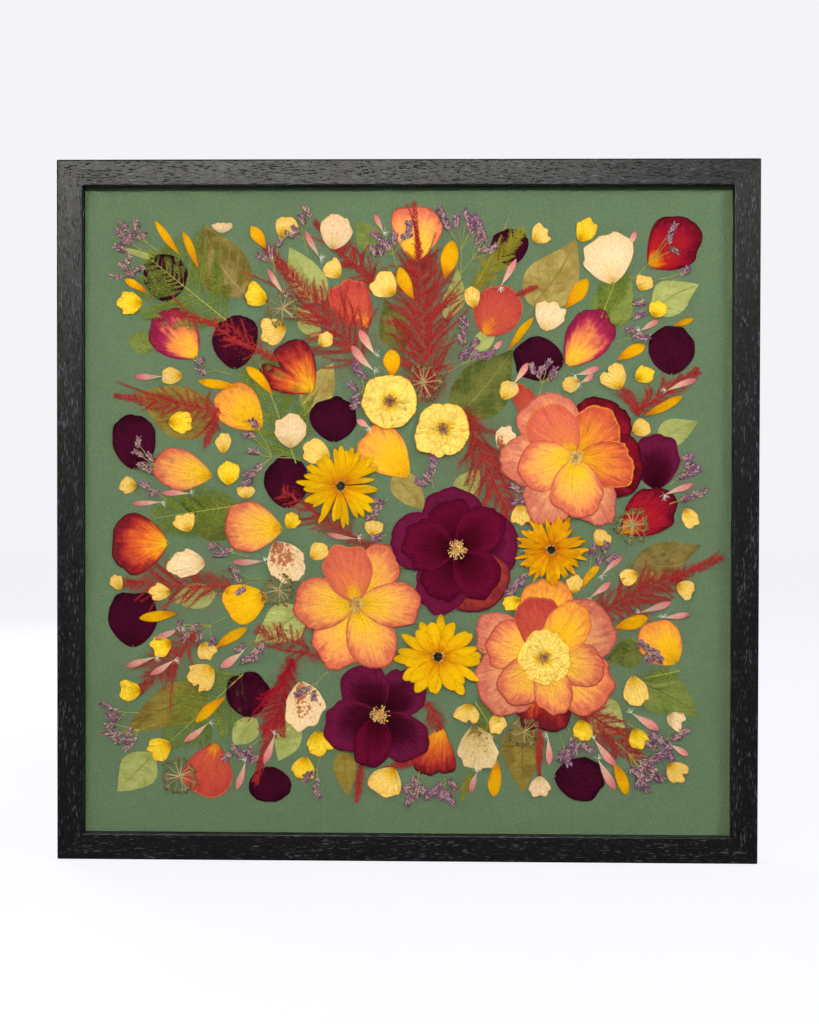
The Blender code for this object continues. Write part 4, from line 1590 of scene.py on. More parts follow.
SMALL_PETALS = (
    SmallPetals(
        "pale_petals",
        Finish.CREAM_PALE,
        61,
        (
            (107, 147, 23, 23, 70), (151, 190, 38, 38, 100), (-88, 60, 25, 25, 90), (-166, -40, 22, 27, 180),
            (-54, 210, 25, 26, 80), (-140, 214, 14, 9, 90), (203, -157, 14, 14, -30),
            (101, -208, 16, 16, -90),
        ),
    ),
    SmallPetals(
        "cream_petals",
        Finish.CREAM,
        62,
        (
            (-92, 214, 17, 17, 60), (-56, 182, 15, 15, 135), (-17, 170, 21, 20, 135), (-62, 129, 12, 12, 45),
            (-101, 136, 21, 20, 200), (49, 161, 12, 16, 100), (100, 208, 15, 14, 45), (178, 172, 13, 13, 60),
            (-178, 102, 13, 16, 180), (-139, 51, 12, 15, 90), (-211, 19, 13, 13, 180), (-122, 14, 14, 10, 90),
            (-68, 44, 19, 22, 150), (76, 91, 14, 15, 60), (86, -2, 15, 15, -90), (176, 63, 14, 14, 30),
            (124, 96, 12, 14, 200), (156, 101, 20, 20, 120, 0.25), (213, -4, 13, 15, -60),
            (-168, -9, 16, 15, 120),
            (-220, -55, 10, 12, 120), (-187, -62, 13, 16, 180), (-152, -106, 15, 14, -60),
            (-67, -31, 14, 15, 45),
            (-25, -13, 14, 13, 80), (147, -20, 14, 13, 60), (127, -55, 12, 14, 90), (168, -49, 13, 14, 200),
            (210, -58, 14, 14, -30), (46, -153, 19, 16, -100, 0.2), (69, -160, 14, 15, -90),
            (173, -135, 19, 23, -80),
            (204, -196, 17, 17, -45, 0.25), (-155, -126, 22, 22, 225, 0.3), (-15, -205, 25, 24, -120),
        ),
    ),
    SmallPetals(
        "yellow_petals",
        Finish.YELLOW,
        63,
        (
            (-114, 162, 17, 18, 150), (-209.5, 157, 18, 18, 180), (134, 211, 16, 18, 60),
            (188, 152, 14, 13, 60),
            (-172, 67, 17, 18, 0), (-135, 28, 17, 18, 90), (178, 103, 14, 14, 30), (-186, -103, 16, 16, 200),
            (-87, -8, 12, 13, 60), (80, -69, 12, 14, 200), (-210, -137, 16, 17, 180),
            (-187, -181, 18, 18, 210),
            (-66, -176, 20, 19, -80), (-78, -195, 17, 18, -100), (133, -165, 15, 16, -80),
            (175, -171, 15, 16, -70),
        ),
    ),
    SmallPetals(
        "red_speckled_petals",
        Finish.SPECKLED_RED,
        64,
        ((-92, -38, 29, 33, -60), (-77, -147, 31, 36, -80), (74, 55, 16, 18, 60)),
    ),
    SmallPetals("green_speckled_petals", Finish.SPECKLED_GREEN, 65, ((54, -179, 30, 34, -80),)),
)


@dataclass
class RayFlorets:
    """Loose orange ray florets.

    Attributes:
        seed: Where their uneven turns come from.
        rays: Each one's free end, narrow end and breadth.
    """

    seed: int = 71
    rays: tuple = (
        ((-191, 219), (-172, 193), 6), ((-170, 211), (-158, 183), 6), ((-214, 175), (-197, 165), 6),
        ((-118, 215), (-107, 198), 9), ((-6, 184), (5, 160), 10), ((34, 204), (28, 175), 13),
        ((95, 146), (76, 121), 6), ((136, 175), (119, 153), 11), ((215, 145), (200, 140), 5),
        ((179, 125), (158, 114), 9), ((-158, 98), (-128, 94), 7), ((-122, 109), (-102, 88), 8),
        ((-12, 122), (-11, 101), 13), ((207, 87), (178, 72), 7), ((-203, -82), (-173, -78), 8),
        ((-121, -89), (-146, -105), 8), ((146, -39), (131, -59), 6), ((182, -80), (157, -88), 10),
        ((-160, -161), (-137, -141), 8), ((66, -216), (69, -188), 10), ((167, -214), (157, -189), 9),
    )

    def build(self) -> None:
        """Build them as one mesh."""
        rng = np.random.default_rng(self.seed)
        press = Press()
        for free, narrow, breadth in self.rays:
            lift = Lift.RAY.value + rng.uniform(0, 0.1)
            bend = rng.normal(0, 0.8)
            surface = blade(narrow, free, breadth, rng, 1.35, 0.62, bend, 0, lift, 22, 9, 0.12)
            press.grid(surface, rng.uniform())
        press.mount("orange_rays", Finish.ORANGE)


@dataclass
class PinkFlorets:
    """Pink florets, each with a tuft of white hairs at its narrow end.

    Attributes:
        seed: Where their uneven turns come from.
        hairs: How many hairs a tuft has.
        hair_length: How long a hair is.
        hair_width: How wide it is.
        florets: Each floret's free end, narrow end and breadth.
    """

    seed: int = 73
    hairs: int = 16
    hair_length: float = 4.5
    hair_width: float = 0.22
    florets: tuple = (
        ((-77, 211), (-66, 191), 4.5), ((-106, 183), (-93, 163), 4.5), ((-25, 224), (-18, 210), 4),
        ((-36, 137), (-24, 118), 6.5), ((-42, 125), (-25, 106), 6.5), ((82, 190), (70, 169), 5),
        ((72, 129), (61, 118), 4), ((172, 211), (166, 199), 4.5), ((189, 144), (175, 136), 4.5),
        ((-207, 101), (-185, 101.5), 5), ((-186, 13), (-164, 13), 4.5), ((-208, 5), (-186, 6.5), 4.5),
        ((-38, 69), (-28, 63), 5), ((91, 112), (80, 96), 5), ((218, 100), (195, 91), 5),
        ((145, 109), (127, 103), 5), ((140, 104), (130, 97), 4), ((216, 21), (194, 13), 5),
        ((-132, -39), (-108, -38), 5), ((-191, -98), (-171, -89), 5), ((-214, -119), (-190, -111), 5),
        ((-141, -119), (-124, -107), 6.5), ((-195, -125), (-176, -113), 5), ((-61, -17), (-37, -21), 4),
        ((163, -33), (147, -48), 5), ((154, -53), (138, -65), 5), ((200, -68), (176, -76), 5.5),
        ((214, -77), (193, -80), 5), ((-169, -176), (-150, -161), 5), ((-129, -212), (-122, -190), 5),
        ((-108, -192), (-100, -170), 5.5), ((49, -213), (54, -197), 5), ((108, -192), (107, -170), 5),
        ((191, -165), (170, -152), 6.5), ((213, -184), (200, -176), 5), ((158, -192), (142, -172), 6),
        ((158, -210), (145, -187), 6.5),
    )

    def build(self) -> None:
        """Build the straps as one mesh and the hairs as another."""
        rng = np.random.default_rng(self.seed)
        straps, tufts = Press(), Press()
        for free, narrow, breadth in self.florets:
            lift = Lift.PINK.value + rng.uniform(0, 0.1)
            bend = rng.normal(0, 0.5)
            surface = blade(narrow, free, breadth, rng, 1.7, 0.7, bend, 0, lift, 18, 7, 0.12)
            straps.grid(surface, rng.uniform())
            back = math.atan2(narrow[1] - free[1], narrow[0] - free[0])
            turn = back + rng.choice([-1, 1]) * rng.uniform(0.5, 1.2) + rng.normal(0, 0.7, self.hairs)
            length = self.hair_length * rng.uniform(0.5, 1.1, self.hairs)
            start = np.tile([*narrow, lift], (self.hairs, 1))
            run = np.stack([np.cos(turn) * length, np.sin(turn) * length, rng.uniform(0, 0.4, self.hairs)], 1)
            tufts.ribbons(start, start + run, self.hair_width, rng.uniform(0, 1, self.hairs))
        straps.mount("pink_florets", Finish.PINK)
        tufts.mount("pink_floret_hairs", Finish.HAIR)


# --- plumes, fronds, sprigs and umbels


@dataclass(frozen=True)
class Plume:
    """A feathery plume.

    Attributes:
        name: Its name.
        base: Its stem end.
        tip: Its tip.
        spread: How far it reaches from side to side, at its broadest.
        finish: Its finish.
        shape: Its breadth from base to tip, at even steps, as shares of the spread.
        density: How many branches it has, where 1 is usual.
    """

    name: str
    base: tuple
    tip: tuple
    spread: float
    finish: Finish = Finish.RED_THREAD
    shape: tuple = (0.5, 1.0, 0.85, 0.5, 0.12)
    density: float = 1.0


@dataclass
class Plumes:
    """The feathery plumes: a stem, side branches, and a brush of fine threads along each branch.

    Attributes:
        lift: How far they lie above the board.
        seed: Where their uneven turns come from.
        branch_gap: How far apart the branches are at most.
        branch_least: How far apart they are at least.
        branch_share: How far apart they are, as a share of their reach.
        branch_girth: How thick a branch is next to the stem.
        steps: How many points a branch has.
        thread_gap: How far apart the threads are.
        thread_breadth: How broad a thread is.
        thread_rise: How far it stands up, as a share of its length.
        fuzz: How many loose threads there are to a square millimetre.
        plumes: The plumes, from the lowest to the top one.
    """

    lift: float = Lift.PLUME.value
    seed: int = 81
    branch_gap: float = 3.0
    branch_least: float = 0.8
    branch_share: float = 0.26
    branch_girth: float = 0.4
    steps: int = 8
    thread_gap: float = 0.3
    thread_breadth: float = 0.24
    thread_rise: float = 0.08
    fuzz: float = 0.9
    plumes: tuple = (
        Plume("plume_upper_left", (-32, 112), (-107, 199), 60, shape=(1.0, 0.9, 0.35, 0.2, 0.1)),
        Plume("plume_top_left", (-18, 166), (-70, 218), 32, shape=(0.8, 1.0, 0.6, 0.2, 0.1)),
        Plume("plume_top_middle", (15, 82), (9, 190), 66, shape=(0.4, 0.9, 1.0, 0.75, 0.35), density=1.4),
        Plume("plume_top_tip", (9, 188), (5, 233), 9, shape=(1.0, 0.7, 0.3, 0.5, 0.3)),
        Plume("plume_on_burgundy", (-98, 113), (-147, 143), 32, shape=(0.1, 0.5, 1.0, 0.6, 0.2), density=0.7),
        Plume("plume_wisp_left", (-143, 140), (-184, 151), 7),
        Plume("plume_left", (-142, 75), (-222, 87), 28, shape=(0.9, 1.0, 0.8, 0.25, 0.1), density=0.8),
        Plume("plume_left_lower", (-143, 78), (-153, 48), 12),
        Plume("plume_middle", (40, 78), (80, -4), 56, shape=(0.3, 0.8, 1.0, 0.8, 0.3)),
        Plume("plume_right", (171, 76), (220, 106), 24, shape=(0.5, 1.0, 0.7, 0.4, 0.2)),
        Plume("plume_right_short", (175, 72), (162, 94), 12),
        Plume("plume_lower_left", (-133, -56), (-217, -56), 48, shape=(0.3, 1.0, 0.9, 0.3, 0.1), density=0.8),
        Plume("plume_low_left", (-160, -92), (-205, -139), 38, shape=(0.4, 1.0, 0.8, 0.3, 0.15), density=0.8),
        Plume("plume_behind_left", (-20, -33), (-96, 14), 30, shape=(0.3, 0.6, 0.9, 0.8, 0.3), density=0.6),
        Plume("plume_low_middle", (-60, -112), (-113, -90), 30, shape=(0.4, 1.0, 0.8, 0.6, 0.2), density=0.8),
        Plume(
            "plume_low_bright", (-86, -112), (-104, -168), 32,
            Finish.CRIMSON_THREAD, (0.3, 0.6, 1.0, 0.9, 0.3), 1.6
        ),
        Plume("plume_low_tail", (-103, -160), (-114, -207), 14, shape=(1.0, 0.8, 0.5, 0.4, 0.2)),
        Plume("plume_far_right", (142, -78), (206, -47), 46, shape=(0.6, 1.0, 0.8, 0.45, 0.2), density=1.1),
        Plume("plume_far_right_tip", (200, -50), (238, -34), 10, shape=(0.8, 1.0, 0.9, 0.7, 0.3)),
        Plume("plume_low_right", (130, -147), (182, -191), 40, shape=(0.7, 1.0, 0.8, 0.3, 0.12)),
        Plume("plume_small_low", (16, -144), (25, -166), 17),
        Plume("plume_bottom_left", (-34, -192), (-38, -221), 8),
        Plume("plume_bottom_middle", (12, -187), (-18, -196), 10),
        Plume("plume_bottom_stem", (101, -164), (101, -201), 6),
        Plume("plume_on_tan_leaf", (81, 162), (98, 170), 6),
        Plume(
            "plume_green_top_right", (49, 166), (87, 212), 24,
            Finish.OLIVE_PLUME, (0.3, 1.0, 0.8, 0.5, 0.2), 1.8
        ),
        Plume("plume_green_bottom", (49, -197), (42, -219), 6, Finish.OLIVE_PLUME),
        Plume(
            "plume_green_on_petal", (62, -160), (52, -196), 22,
            Finish.OLIVE_PLUME, (1.0, 0.9, 0.5, 0.3, 0.2), 0.8
        ),
    )

    def build(self) -> None:
        """Build each plume."""
        rng = np.random.default_rng(self.seed)
        for plume in self.plumes:
            press = Press()
            base, tip = np.array(plume.base, float), np.array(plume.tip, float)
            length = float(np.hypot(*(tip - base)))
            heading = math.atan2(*(tip - base)[::-1])
            self.add_brush(press, base, heading, length, 1.0, rng)
            shares = np.linspace(0, 1, len(plume.shape))
            along = 0.02
            while along < 0.99:
                reach = float(np.interp(along, shares, plume.shape)) * plume.spread / 2
                for side in (-1, 1):
                    lean = rng.uniform(0.45, 1.1)
                    root = base + (along + rng.normal(0, 0.015)) * (tip - base)
                    out = reach * rng.uniform(0.5, 1.15) / math.sin(lean + 0.1)
                    self.add_brush(press, root, heading + side * lean, out, self.branch_girth, rng)
                gap = min(max(reach * self.branch_share, self.branch_least), self.branch_gap)
                along += gap / length / plume.density
            self.add_fuzz(press, plume, rng)
            press.mount(plume.name, plume.finish)

    def add_fuzz(self, press: Press, plume: Plume, rng: Chance) -> None:
        """Fill a plume's outline with loose threads, closer together near its stem.

        Args:
            press: What they are added to.
            plume: The plume.
            rng: Where their places and turns come from.
        """
        base, tip = np.array(plume.base, float), np.array(plume.tip, float)
        length = float(np.hypot(*(tip - base)))
        ahead = (tip - base) / length
        beside = np.array([-ahead[1], ahead[0]])
        half = np.array(plume.shape) * plume.spread / 2
        count = int(half.mean() * 2 * length * self.fuzz * plume.density)
        along = rng.uniform(0, 1, count)
        reach = np.interp(along, np.linspace(0, 1, len(half)), half)
        off = np.clip(rng.normal(0, 0.5, count), -1.15, 1.15) * reach
        foot = base + along[:, None] * ahead * length + off[:, None] * beside
        level = self.lift + rng.uniform(-0.2, 0.2, count)
        turn = math.atan2(ahead[1], ahead[0]) + np.sign(off) * rng.uniform(0.2, 1.5, count)
        size = rng.uniform(0.9, 2.2, count)
        press.flakes(np.c_[foot, level], turn, size, 0.22, rng.uniform(0, 1, count), self.thread_rise)

    def add_brush(self, press: Press, root: np.ndarray, turn: float, length: float, girth: float,
                  rng: Chance) -> None:
        """Build one branch with the fine threads on both its sides.

        Args:
            press: What it is added to.
            root: Where it starts.
            turn: Its direction at its root.
            length: Its length.
            girth: How thick it is at its root.
            rng: Where its uneven turns come from.
        """
        steps = self.steps
        turns = turn + rng.normal(0, 0.32) * np.linspace(0, 1, steps) + rng.normal(0, 0.08, steps).cumsum()
        hops = np.stack([np.cos(turns), np.sin(turns)], 1) * length / (steps - 1)
        path = root + np.concatenate([np.zeros((1, 2)), hops[:-1].cumsum(0)])
        line = np.c_[path, np.full(steps, self.lift + rng.uniform(-0.15, 0.1))]
        press.ribbons(line[:-1], line[1:], np.linspace(girth, girth * 0.4, steps - 1), rng.uniform(0.3, 0.8))
        count = max(5, int(length / self.thread_gap))
        share = (np.arange(count) + rng.uniform(0, 1, count)) / count
        at = share * (steps - 1.001)
        low = at.astype(int)
        part = (at - low)[:, None]
        spine = line[low] * (1 - part) + line[low + 1] * part
        size = np.clip(length * 0.16, 1.0, 1.9) * (1.05 - 0.4 * share) * rng.uniform(0.5, 1.4, count)
        tone = rng.uniform(-0.15, 0.15)
        for side in (-1, 1):
            foot = spine + np.c_[rng.normal(0, 0.12, (count, 2)), rng.uniform(-0.05, 0.12, count)]
            aim = turns[low] + side * rng.uniform(0.3, 1.25, count)
            picks = np.clip(rng.uniform(0.1, 0.9, count) + tone, 0, 1)
            press.flakes(foot, aim, size, self.thread_breadth, picks, self.thread_rise)


@dataclass(frozen=True)
class Frond:
    """A feathery green frond.

    Attributes:
        name: Its name.
        base: Its stem end.
        tip: Its tip.
        spread: How far it reaches from side to side, at its broadest.
        lean: How far its ribs lean out, in degrees.
        shape: Its breadth from base to tip, at even steps, as shares of the spread.
        under: Whether the petals lie over it.
    """

    name: str
    base: tuple
    tip: tuple
    spread: float
    lean: float = 55.0
    shape: tuple = (0.5, 1.0, 0.95, 0.6, 0.15)
    under: bool = False


@dataclass
class Fronds:
    """Green fronds: a stem, straight ribs on both sides, and fine threads along each rib.

    Attributes:
        lift: How far they lie above the board.
        lowest: How far the ones under the petals do.
        stand: How far the stem stands above the ribs.
        seed: Where their uneven turns come from.
        rib_gap: How far apart the ribs are.
        thread_gap: How far apart the threads are.
        thread: How long a thread is.
        fronds: The fronds.
    """

    lift: float = Lift.FROND.value
    lowest: float = 0.18
    stand: float = 0.3
    seed: int = 91
    rib_gap: float = 3.9
    thread_gap: float = 0.38
    thread: float = 3.4
    fronds: tuple = (
        Frond("frond_top_left", (-137, 144), (-197, 192), 78, shape=(0.6, 1.0, 0.9, 0.45, 0.1)),
        Frond("frond_left", (-84, 36), (-112, 112), 62, shape=(0.6, 1.0, 0.9, 0.7, 0.3), under=True),
        Frond("frond_dark_left", (-128, 4), (-192, -6), 40, shape=(0.6, 1.0, 0.9, 0.6, 0.2)),
        Frond("frond_low_left", (-124, -124), (-182, -178), 58, shape=(0.7, 1.0, 0.8, 0.4, 0.15), under=True),
        Frond("frond_top_right", (146, 146), (160, 183), 22, shape=(0.4, 0.8, 1.0, 0.8, 0.3)),
        Frond("frond_right_low", (52, -144), (66, -166), 16),
        Frond("frond_low_right_tips", (206, -120), (178, -126), 10),
    )

    def build(self) -> None:
        """Build each frond."""
        rng = np.random.default_rng(self.seed)
        for frond in self.fronds:
            press = Press()
            base, tip = np.array(frond.base, float), np.array(frond.tip, float)
            length = float(np.hypot(*(tip - base)))
            heading = math.atan2(*(tip - base)[::-1])
            lift = self.lowest if frond.under else self.lift
            stem = np.c_[base + np.linspace(0, 1, 12)[:, None] * (tip - base), np.full(12, lift + self.stand)]
            press.ribbons(stem[:-1], stem[1:], np.linspace(1.0, 0.5, 11), 1.0)
            count = max(4, int(length / self.rib_gap))
            where = (np.arange(count) + 0.4) / count
            reaches = np.interp(where, np.linspace(0, 1, len(frond.shape)), frond.shape) * frond.spread / 2
            for share, reach in zip(where, reaches):
                for side in (-1, 1):
                    root = base + (share + rng.normal(0, 0.01)) * (tip - base)
                    turn = heading + side * (math.radians(frond.lean) + rng.normal(0, 0.07))
                    self.add_rib(press, root, turn, reach / math.sin(math.radians(frond.lean)), lift, rng)
            press.mount(frond.name, Finish.GREEN_THREAD)

    def add_rib(self, press: Press, root: np.ndarray, turn: float, length: float, lift: float,
                rng: Chance) -> None:
        """Build one rib with its threads.

        Args:
            press: What it is added to.
            root: Where it leaves the stem.
            turn: Its direction.
            length: Its length.
            lift: How far the frond lies above the board.
            rng: Where its uneven turns come from.
        """
        ahead = np.array([math.cos(turn), math.sin(turn)])
        level = lift + rng.uniform(0, 0.6) * self.stand
        line = root + np.linspace(0, 1, 4)[:, None] * ahead * length
        ends = np.c_[line, np.full(4, level + 0.3 * self.stand)]
        press.ribbons(ends[:-1], ends[1:], np.linspace(0.4, 0.2, 3), rng.uniform(0.4, 0.8))
        count = max(4, int(length / self.thread_gap))
        share = (np.arange(count) + rng.uniform(0, 1, count)) / count
        swell = np.sin(math.pi * np.clip(share, 0.08, 0.95)) ** 0.5
        size = self.thread * swell * rng.uniform(0.6, 1.2, count)
        for side in (-1, 1):
            foot = np.c_[root + share[:, None] * ahead * length, np.full(count, level)]
            aim = turn + side * rng.uniform(0.5, 1.0, count)
            press.flakes(foot, aim, size, 0.3, rng.uniform(0, 0.8, count), 0.1)


@dataclass
class Statice:
    """Statice sprigs: thin stems that fork from a foot to each spike of papery florets.

    Attributes:
        lift: How far they lie above the board.
        seed: Where their uneven turns come from.
        fresh: The least and greatest share of violet florets on a fresh sprig.
        dry: The same on a dry one.
        divide: How far to the right of the board's middle the fresh sprigs begin.
        calyces: How many calyces a spike has on each side.
        calyx: How long a calyx is.
        spike: Where a spike's first and last calyces sit, from its middle.
        sprigs: Each sprig's foot and the middles of its spikes.
    """

    lift: float = Lift.SPRIG.value
    seed: int = 101
    fresh: tuple = (0.35, 0.95)
    dry: tuple = (0.05, 0.45)
    divide: float = -40.0
    calyces: int = 8
    calyx: float = 3.6
    spike: tuple = (-3.8, 3.0)
    sprigs: tuple = (
        ((-186, 194), ((-214, 214), (-205, 215), (-216, 208), (-208, 208), (-200, 208))),
        ((-188, 194), ((-211, 203), (-217, 198))),
        ((-200, 181), ((-211, 190), (-214, 184), (-219, 177), (-209, 179), (-202, 183))),
        ((-100, 180), ((-108, 191), (-103, 193), (-97, 202))),
        ((-75, 194), ((-88, 208), (-84, 211), (-79, 219), (-75, 225))),
        ((-8, 184), ((-22, 207), (-15, 200), (-10, 204), (-25, 195), (-20, 196), (-2, 207), (1, 213))),
        ((40, 177), ((26, 224), (30, 215), (37, 217), (45, 222), (50, 218), (48, 212), (55, 213))),
        ((40, 179), ((53, 204), (56, 197), (64, 197), (58, 206))),
        ((42, 118), ((44, 142), (43, 135), (42, 128), (50, 126))),
        ((170, 175), ((199, 213), (197, 205), (200, 197))),
        ((172, 170), ((208, 180),)),
        ((160, 140), ((173, 157), (173, 147))),
        ((158, 128), ((167, 137), (172, 132), (178, 131))),
        ((-133, 103), ((-156, 113), (-155, 105))),
        ((-182, 28), ((-204, 51), (-194, 40), (-199, 35), (-203, 43), (-195, 30))),
        ((-182, 8), ((-197, 18), (-191, 14))),
        ((-88, 40), ((-115, 65), (-118, 57), (-115, 45), (-112, 33), (-118, 27), (-120, 22))),
        ((-28, 92), ((-38, 107), (-33, 102), (-40, 93), (-38, 86), (-38, 80))),
        ((-14, 10), ((-22, 3), (-25, -4), (-20, 7))),
        ((31, 105), ((42, 117), (49, 117), (56, 117), (62, 118))),
        ((100, 88), ((95, 107), (100, 104), (105, 110), (108, 101), (111, 104))),
        ((20, 17), ((20, 32), (21, 38), (12, 21), (17, 25))),
        ((97, 12), ((83, 17), (85, 8))),
        ((198, 20), ((212, 35), (216, 30), (208, 27), (210, 41))),
        ((198, 6), ((215, 12), (222, 14), (209, 10))),
        ((-120, -35), ((-145, -27), (-140, -33), (-135, -30))),
        ((-110, -52), ((-130, -45), (-128, -52), (-125, -60))),
        ((-137, -81), ((-172, -86), (-167, -95), (-157, -95), (-147, -98), (-160, -88))),
        ((-110, -92), ((-125, -103), (-115, -108), (-120, -112), (-110, -103))),
        ((-15, -18), ((-22, -20),)),
        ((128, -62), ((140, -30), (150, -28), (153, -36), (145, -38))),
        ((92, -46), ((84, -53), (80, -60), (88, -50))),
        ((170, -95), ((178, -100), (185, -105), (188, -110), (182, -110))),
        ((-203, -154), ((-227, -149), (-222, -153), (-220, -158))),
        ((-190, -163),
         ((-224, -163), (-226, -169), (-219, -170), (-217, -175), (-210, -168), (-208, -174), (-210, -179))),
        ((-112, -174), ((-135, -186), (-128, -182), (-124, -184), (-119, -182), (-115, -188))),
        ((-65, -186), ((-75, -201), (-68, -206), (-68, -213), (-72, -199))),
        ((-60, -122), ((-75, -135), (-79, -137), (-70, -139))),
        ((10, -197), ((2, -208), (6, -204), (8, -212), (3, -214), (2, -218), (12, -210), (15, -214))),
        ((29, -202), ((22, -211), (25, -208), (28, -213), (34, -206), (31, -214), (33, -218))),
        ((116, -168), ((118, -183), (122, -181), (121, -187))),
        ((122, -163), ((125, -174), (130, -178), (136, -178))),
        ((166, -159), ((186, -168), (184, -175), (192, -172), (196, -176), (198, -183), (192, -183))),
        ((190, -174), ((203, -170), (208, -166))),
        ((158, -174), ((186, -186), (181, -188), (178, -190), (176, -195), (172, -196), (180, -200))),
        ((172, -188), ((185, -194), (187, -200), (190, -201), (176, -203), (180, -207))),
    )

    def build(self) -> None:
        """Build the stems, calyces and florets as one mesh each."""
        rng = np.random.default_rng(self.seed)
        stems, calyces, florets = Press(), Press(), Press()
        for foot, spots in self.sprigs:
            self.add_stems(stems, np.array(foot, float), np.array(spots, float), rng)
            fresh = rng.uniform(*(self.fresh if foot[0] > self.divide else self.dry))
            for spot in spots:
                away = math.atan2(spot[1] - foot[1], spot[0] - foot[0]) + rng.normal(0, 0.5)
                self.add_spike(calyces, florets, np.array(spot, float), away, fresh, rng)
        stems.mount("statice_stems", Finish.STEM)
        calyces.mount("statice_calyces", Finish.CALYX)
        florets.mount("statice_florets", Finish.VIOLET)

    def add_stems(self, press: Press, foot: np.ndarray, spots: np.ndarray, rng: Chance) -> None:
        """Build a stem that forks to each spike.

        Args:
            press: What it is added to.
            foot: Where it starts.
            spots: The spikes' middles.
            rng: Where its uneven turns come from.
        """
        fork = foot + (spots.mean(0) - foot) * 0.5
        level = self.lift - 0.25
        press.ribbons(np.array([[*foot, level]]), np.array([[*fork, level]]), 0.8, 0.6)
        for spot in spots:
            bow = (spot + fork) / 2 + rng.normal(0, 0.7, 2)
            line = np.array([[*fork, level], [*bow, level], [*spot, level + 0.1]])
            press.ribbons(line[:-1], line[1:], 0.6, rng.uniform(0.3, 1))

    def add_spike(self, calyces: Press, florets: Press, spot: np.ndarray, away: float, fresh: float,
                  rng: Chance) -> None:
        """Build one short spike of florets in two rows.

        Args:
            calyces: What the papery calyces are added to.
            florets: What the violet florets, and the dark flakes of painted shade under the calyces, are
                added to.
            spot: The spike's middle.
            away: The direction from the foot.
            fresh: The share of the calyces that still hold a violet floret.
            rng: Where its uneven turns come from.
        """
        count = self.calyces * 2
        side = np.tile([-1, 1], self.calyces)
        share = np.repeat(np.linspace(*self.spike, self.calyces), 2)
        ahead = np.array([math.cos(away), math.sin(away)])
        foot = spot + share[:, None] * ahead + rng.normal(0, 0.2, (count, 2))
        level = self.lift + np.repeat(np.linspace(0, 0.5, self.calyces), 2)
        aim = away + side * rng.uniform(0.35, 0.75, count)
        size = self.calyx * rng.uniform(0.8, 1.15, count)
        calyces.flakes(np.c_[foot, level], aim, size, 1.45, rng.uniform(0, 1, count), 0.35)
        # Painted shade: a dark violet flake, pick 0, under each calyx stands for the dark gaps between the
        # calyces.
        florets.flakes(np.c_[foot, level - 0.2], aim, size * 0.9, 2.4, 0.0, 0.3)
        tips = foot + np.stack([np.cos(aim), np.sin(aim)], 1) * (size * 0.7)[:, None]
        open_ones = rng.uniform(size=count) < fresh
        for turn in (-0.8, 0.0, 0.8):
            florets.flakes(
                np.c_[tips, level + 0.25][open_ones], (aim + turn)[open_ones], 1.6, 1.2,
                rng.uniform(0, 1, open_ones.sum()), 0.3,
            )


@dataclass
class Umbels:
    """Dry umbels: spokes from a middle, each with a small head of stalked seeds.

    Attributes:
        lift: How far they lie above the board.
        seed: Where their uneven turns come from.
        umbels: Each one's name, middle and radius.
        spokes: How many spokes it has.
        spoke_width: How wide a spoke is.
        seeds: How many seeds a spoke has.
        stalk_width: How wide a seed's stalk is.
        seed_size: How long and how broad a seed is.
    """

    lift: float = 1.5
    seed: int = 111
    umbels: tuple = (
        ("umbel_upper_left", (-94, 153), 13.5), ("umbel_middle", (12, 97), 14.0),
        ("umbel_right", (170, -10), 13.5),
        ("umbel_left", (-97, -60), 13.0), ("umbel_low_left", (-172, -202), 14.0),
        ("umbel_bottom", (89, -167), 11.5),
    )
    spokes: int = 13
    spoke_width: float = 1.1
    seeds: int = 9
    stalk_width: float = 0.5
    seed_size: tuple = (1.8, 1.5)

    def build(self) -> None:
        """Build each umbel."""
        rng = np.random.default_rng(self.seed)
        for name, middle, radius in self.umbels:
            press = Press()
            for k in range(self.spokes):
                turn = math.tau * k / self.spokes + rng.normal(0, 0.12)
                reach = radius * rng.uniform(0.55, 0.85)
                end = np.array([*reached(middle, math.degrees(turn), reach), self.lift])
                hub = np.array([[*middle, self.lift]])
                press.ribbons(hub, end[None], self.spoke_width, rng.uniform(0.5, 1))
                turns = turn + rng.uniform(-1.3, 1.3, self.seeds)
                length = radius * rng.uniform(0.1, 0.26, self.seeds)
                rise = rng.uniform(0, 0.2, self.seeds)
                run = np.stack([np.cos(turns) * length, np.sin(turns) * length, rise], 1)
                start = np.tile(end, (self.seeds, 1))
                press.ribbons(start, start + run, self.stalk_width, rng.uniform(0.3, 0.9, self.seeds))
                press.flakes(start + run, turns, *self.seed_size, rng.uniform(0, 0.5, self.seeds))
            press.mount(name, Finish.UMBEL)


# --- the frame, its package and its back


def dress(material: bpy.types.Material, *nodes: str) -> None:
    """Give CAD nodes a finish.

    Args:
        material: The finish.
        *nodes: The nodes.
    """
    for node in nodes:
        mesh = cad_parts[node].data
        mesh.materials.clear()
        mesh.materials.append(material)
        LOG.info("%s: %s", node, material.name)


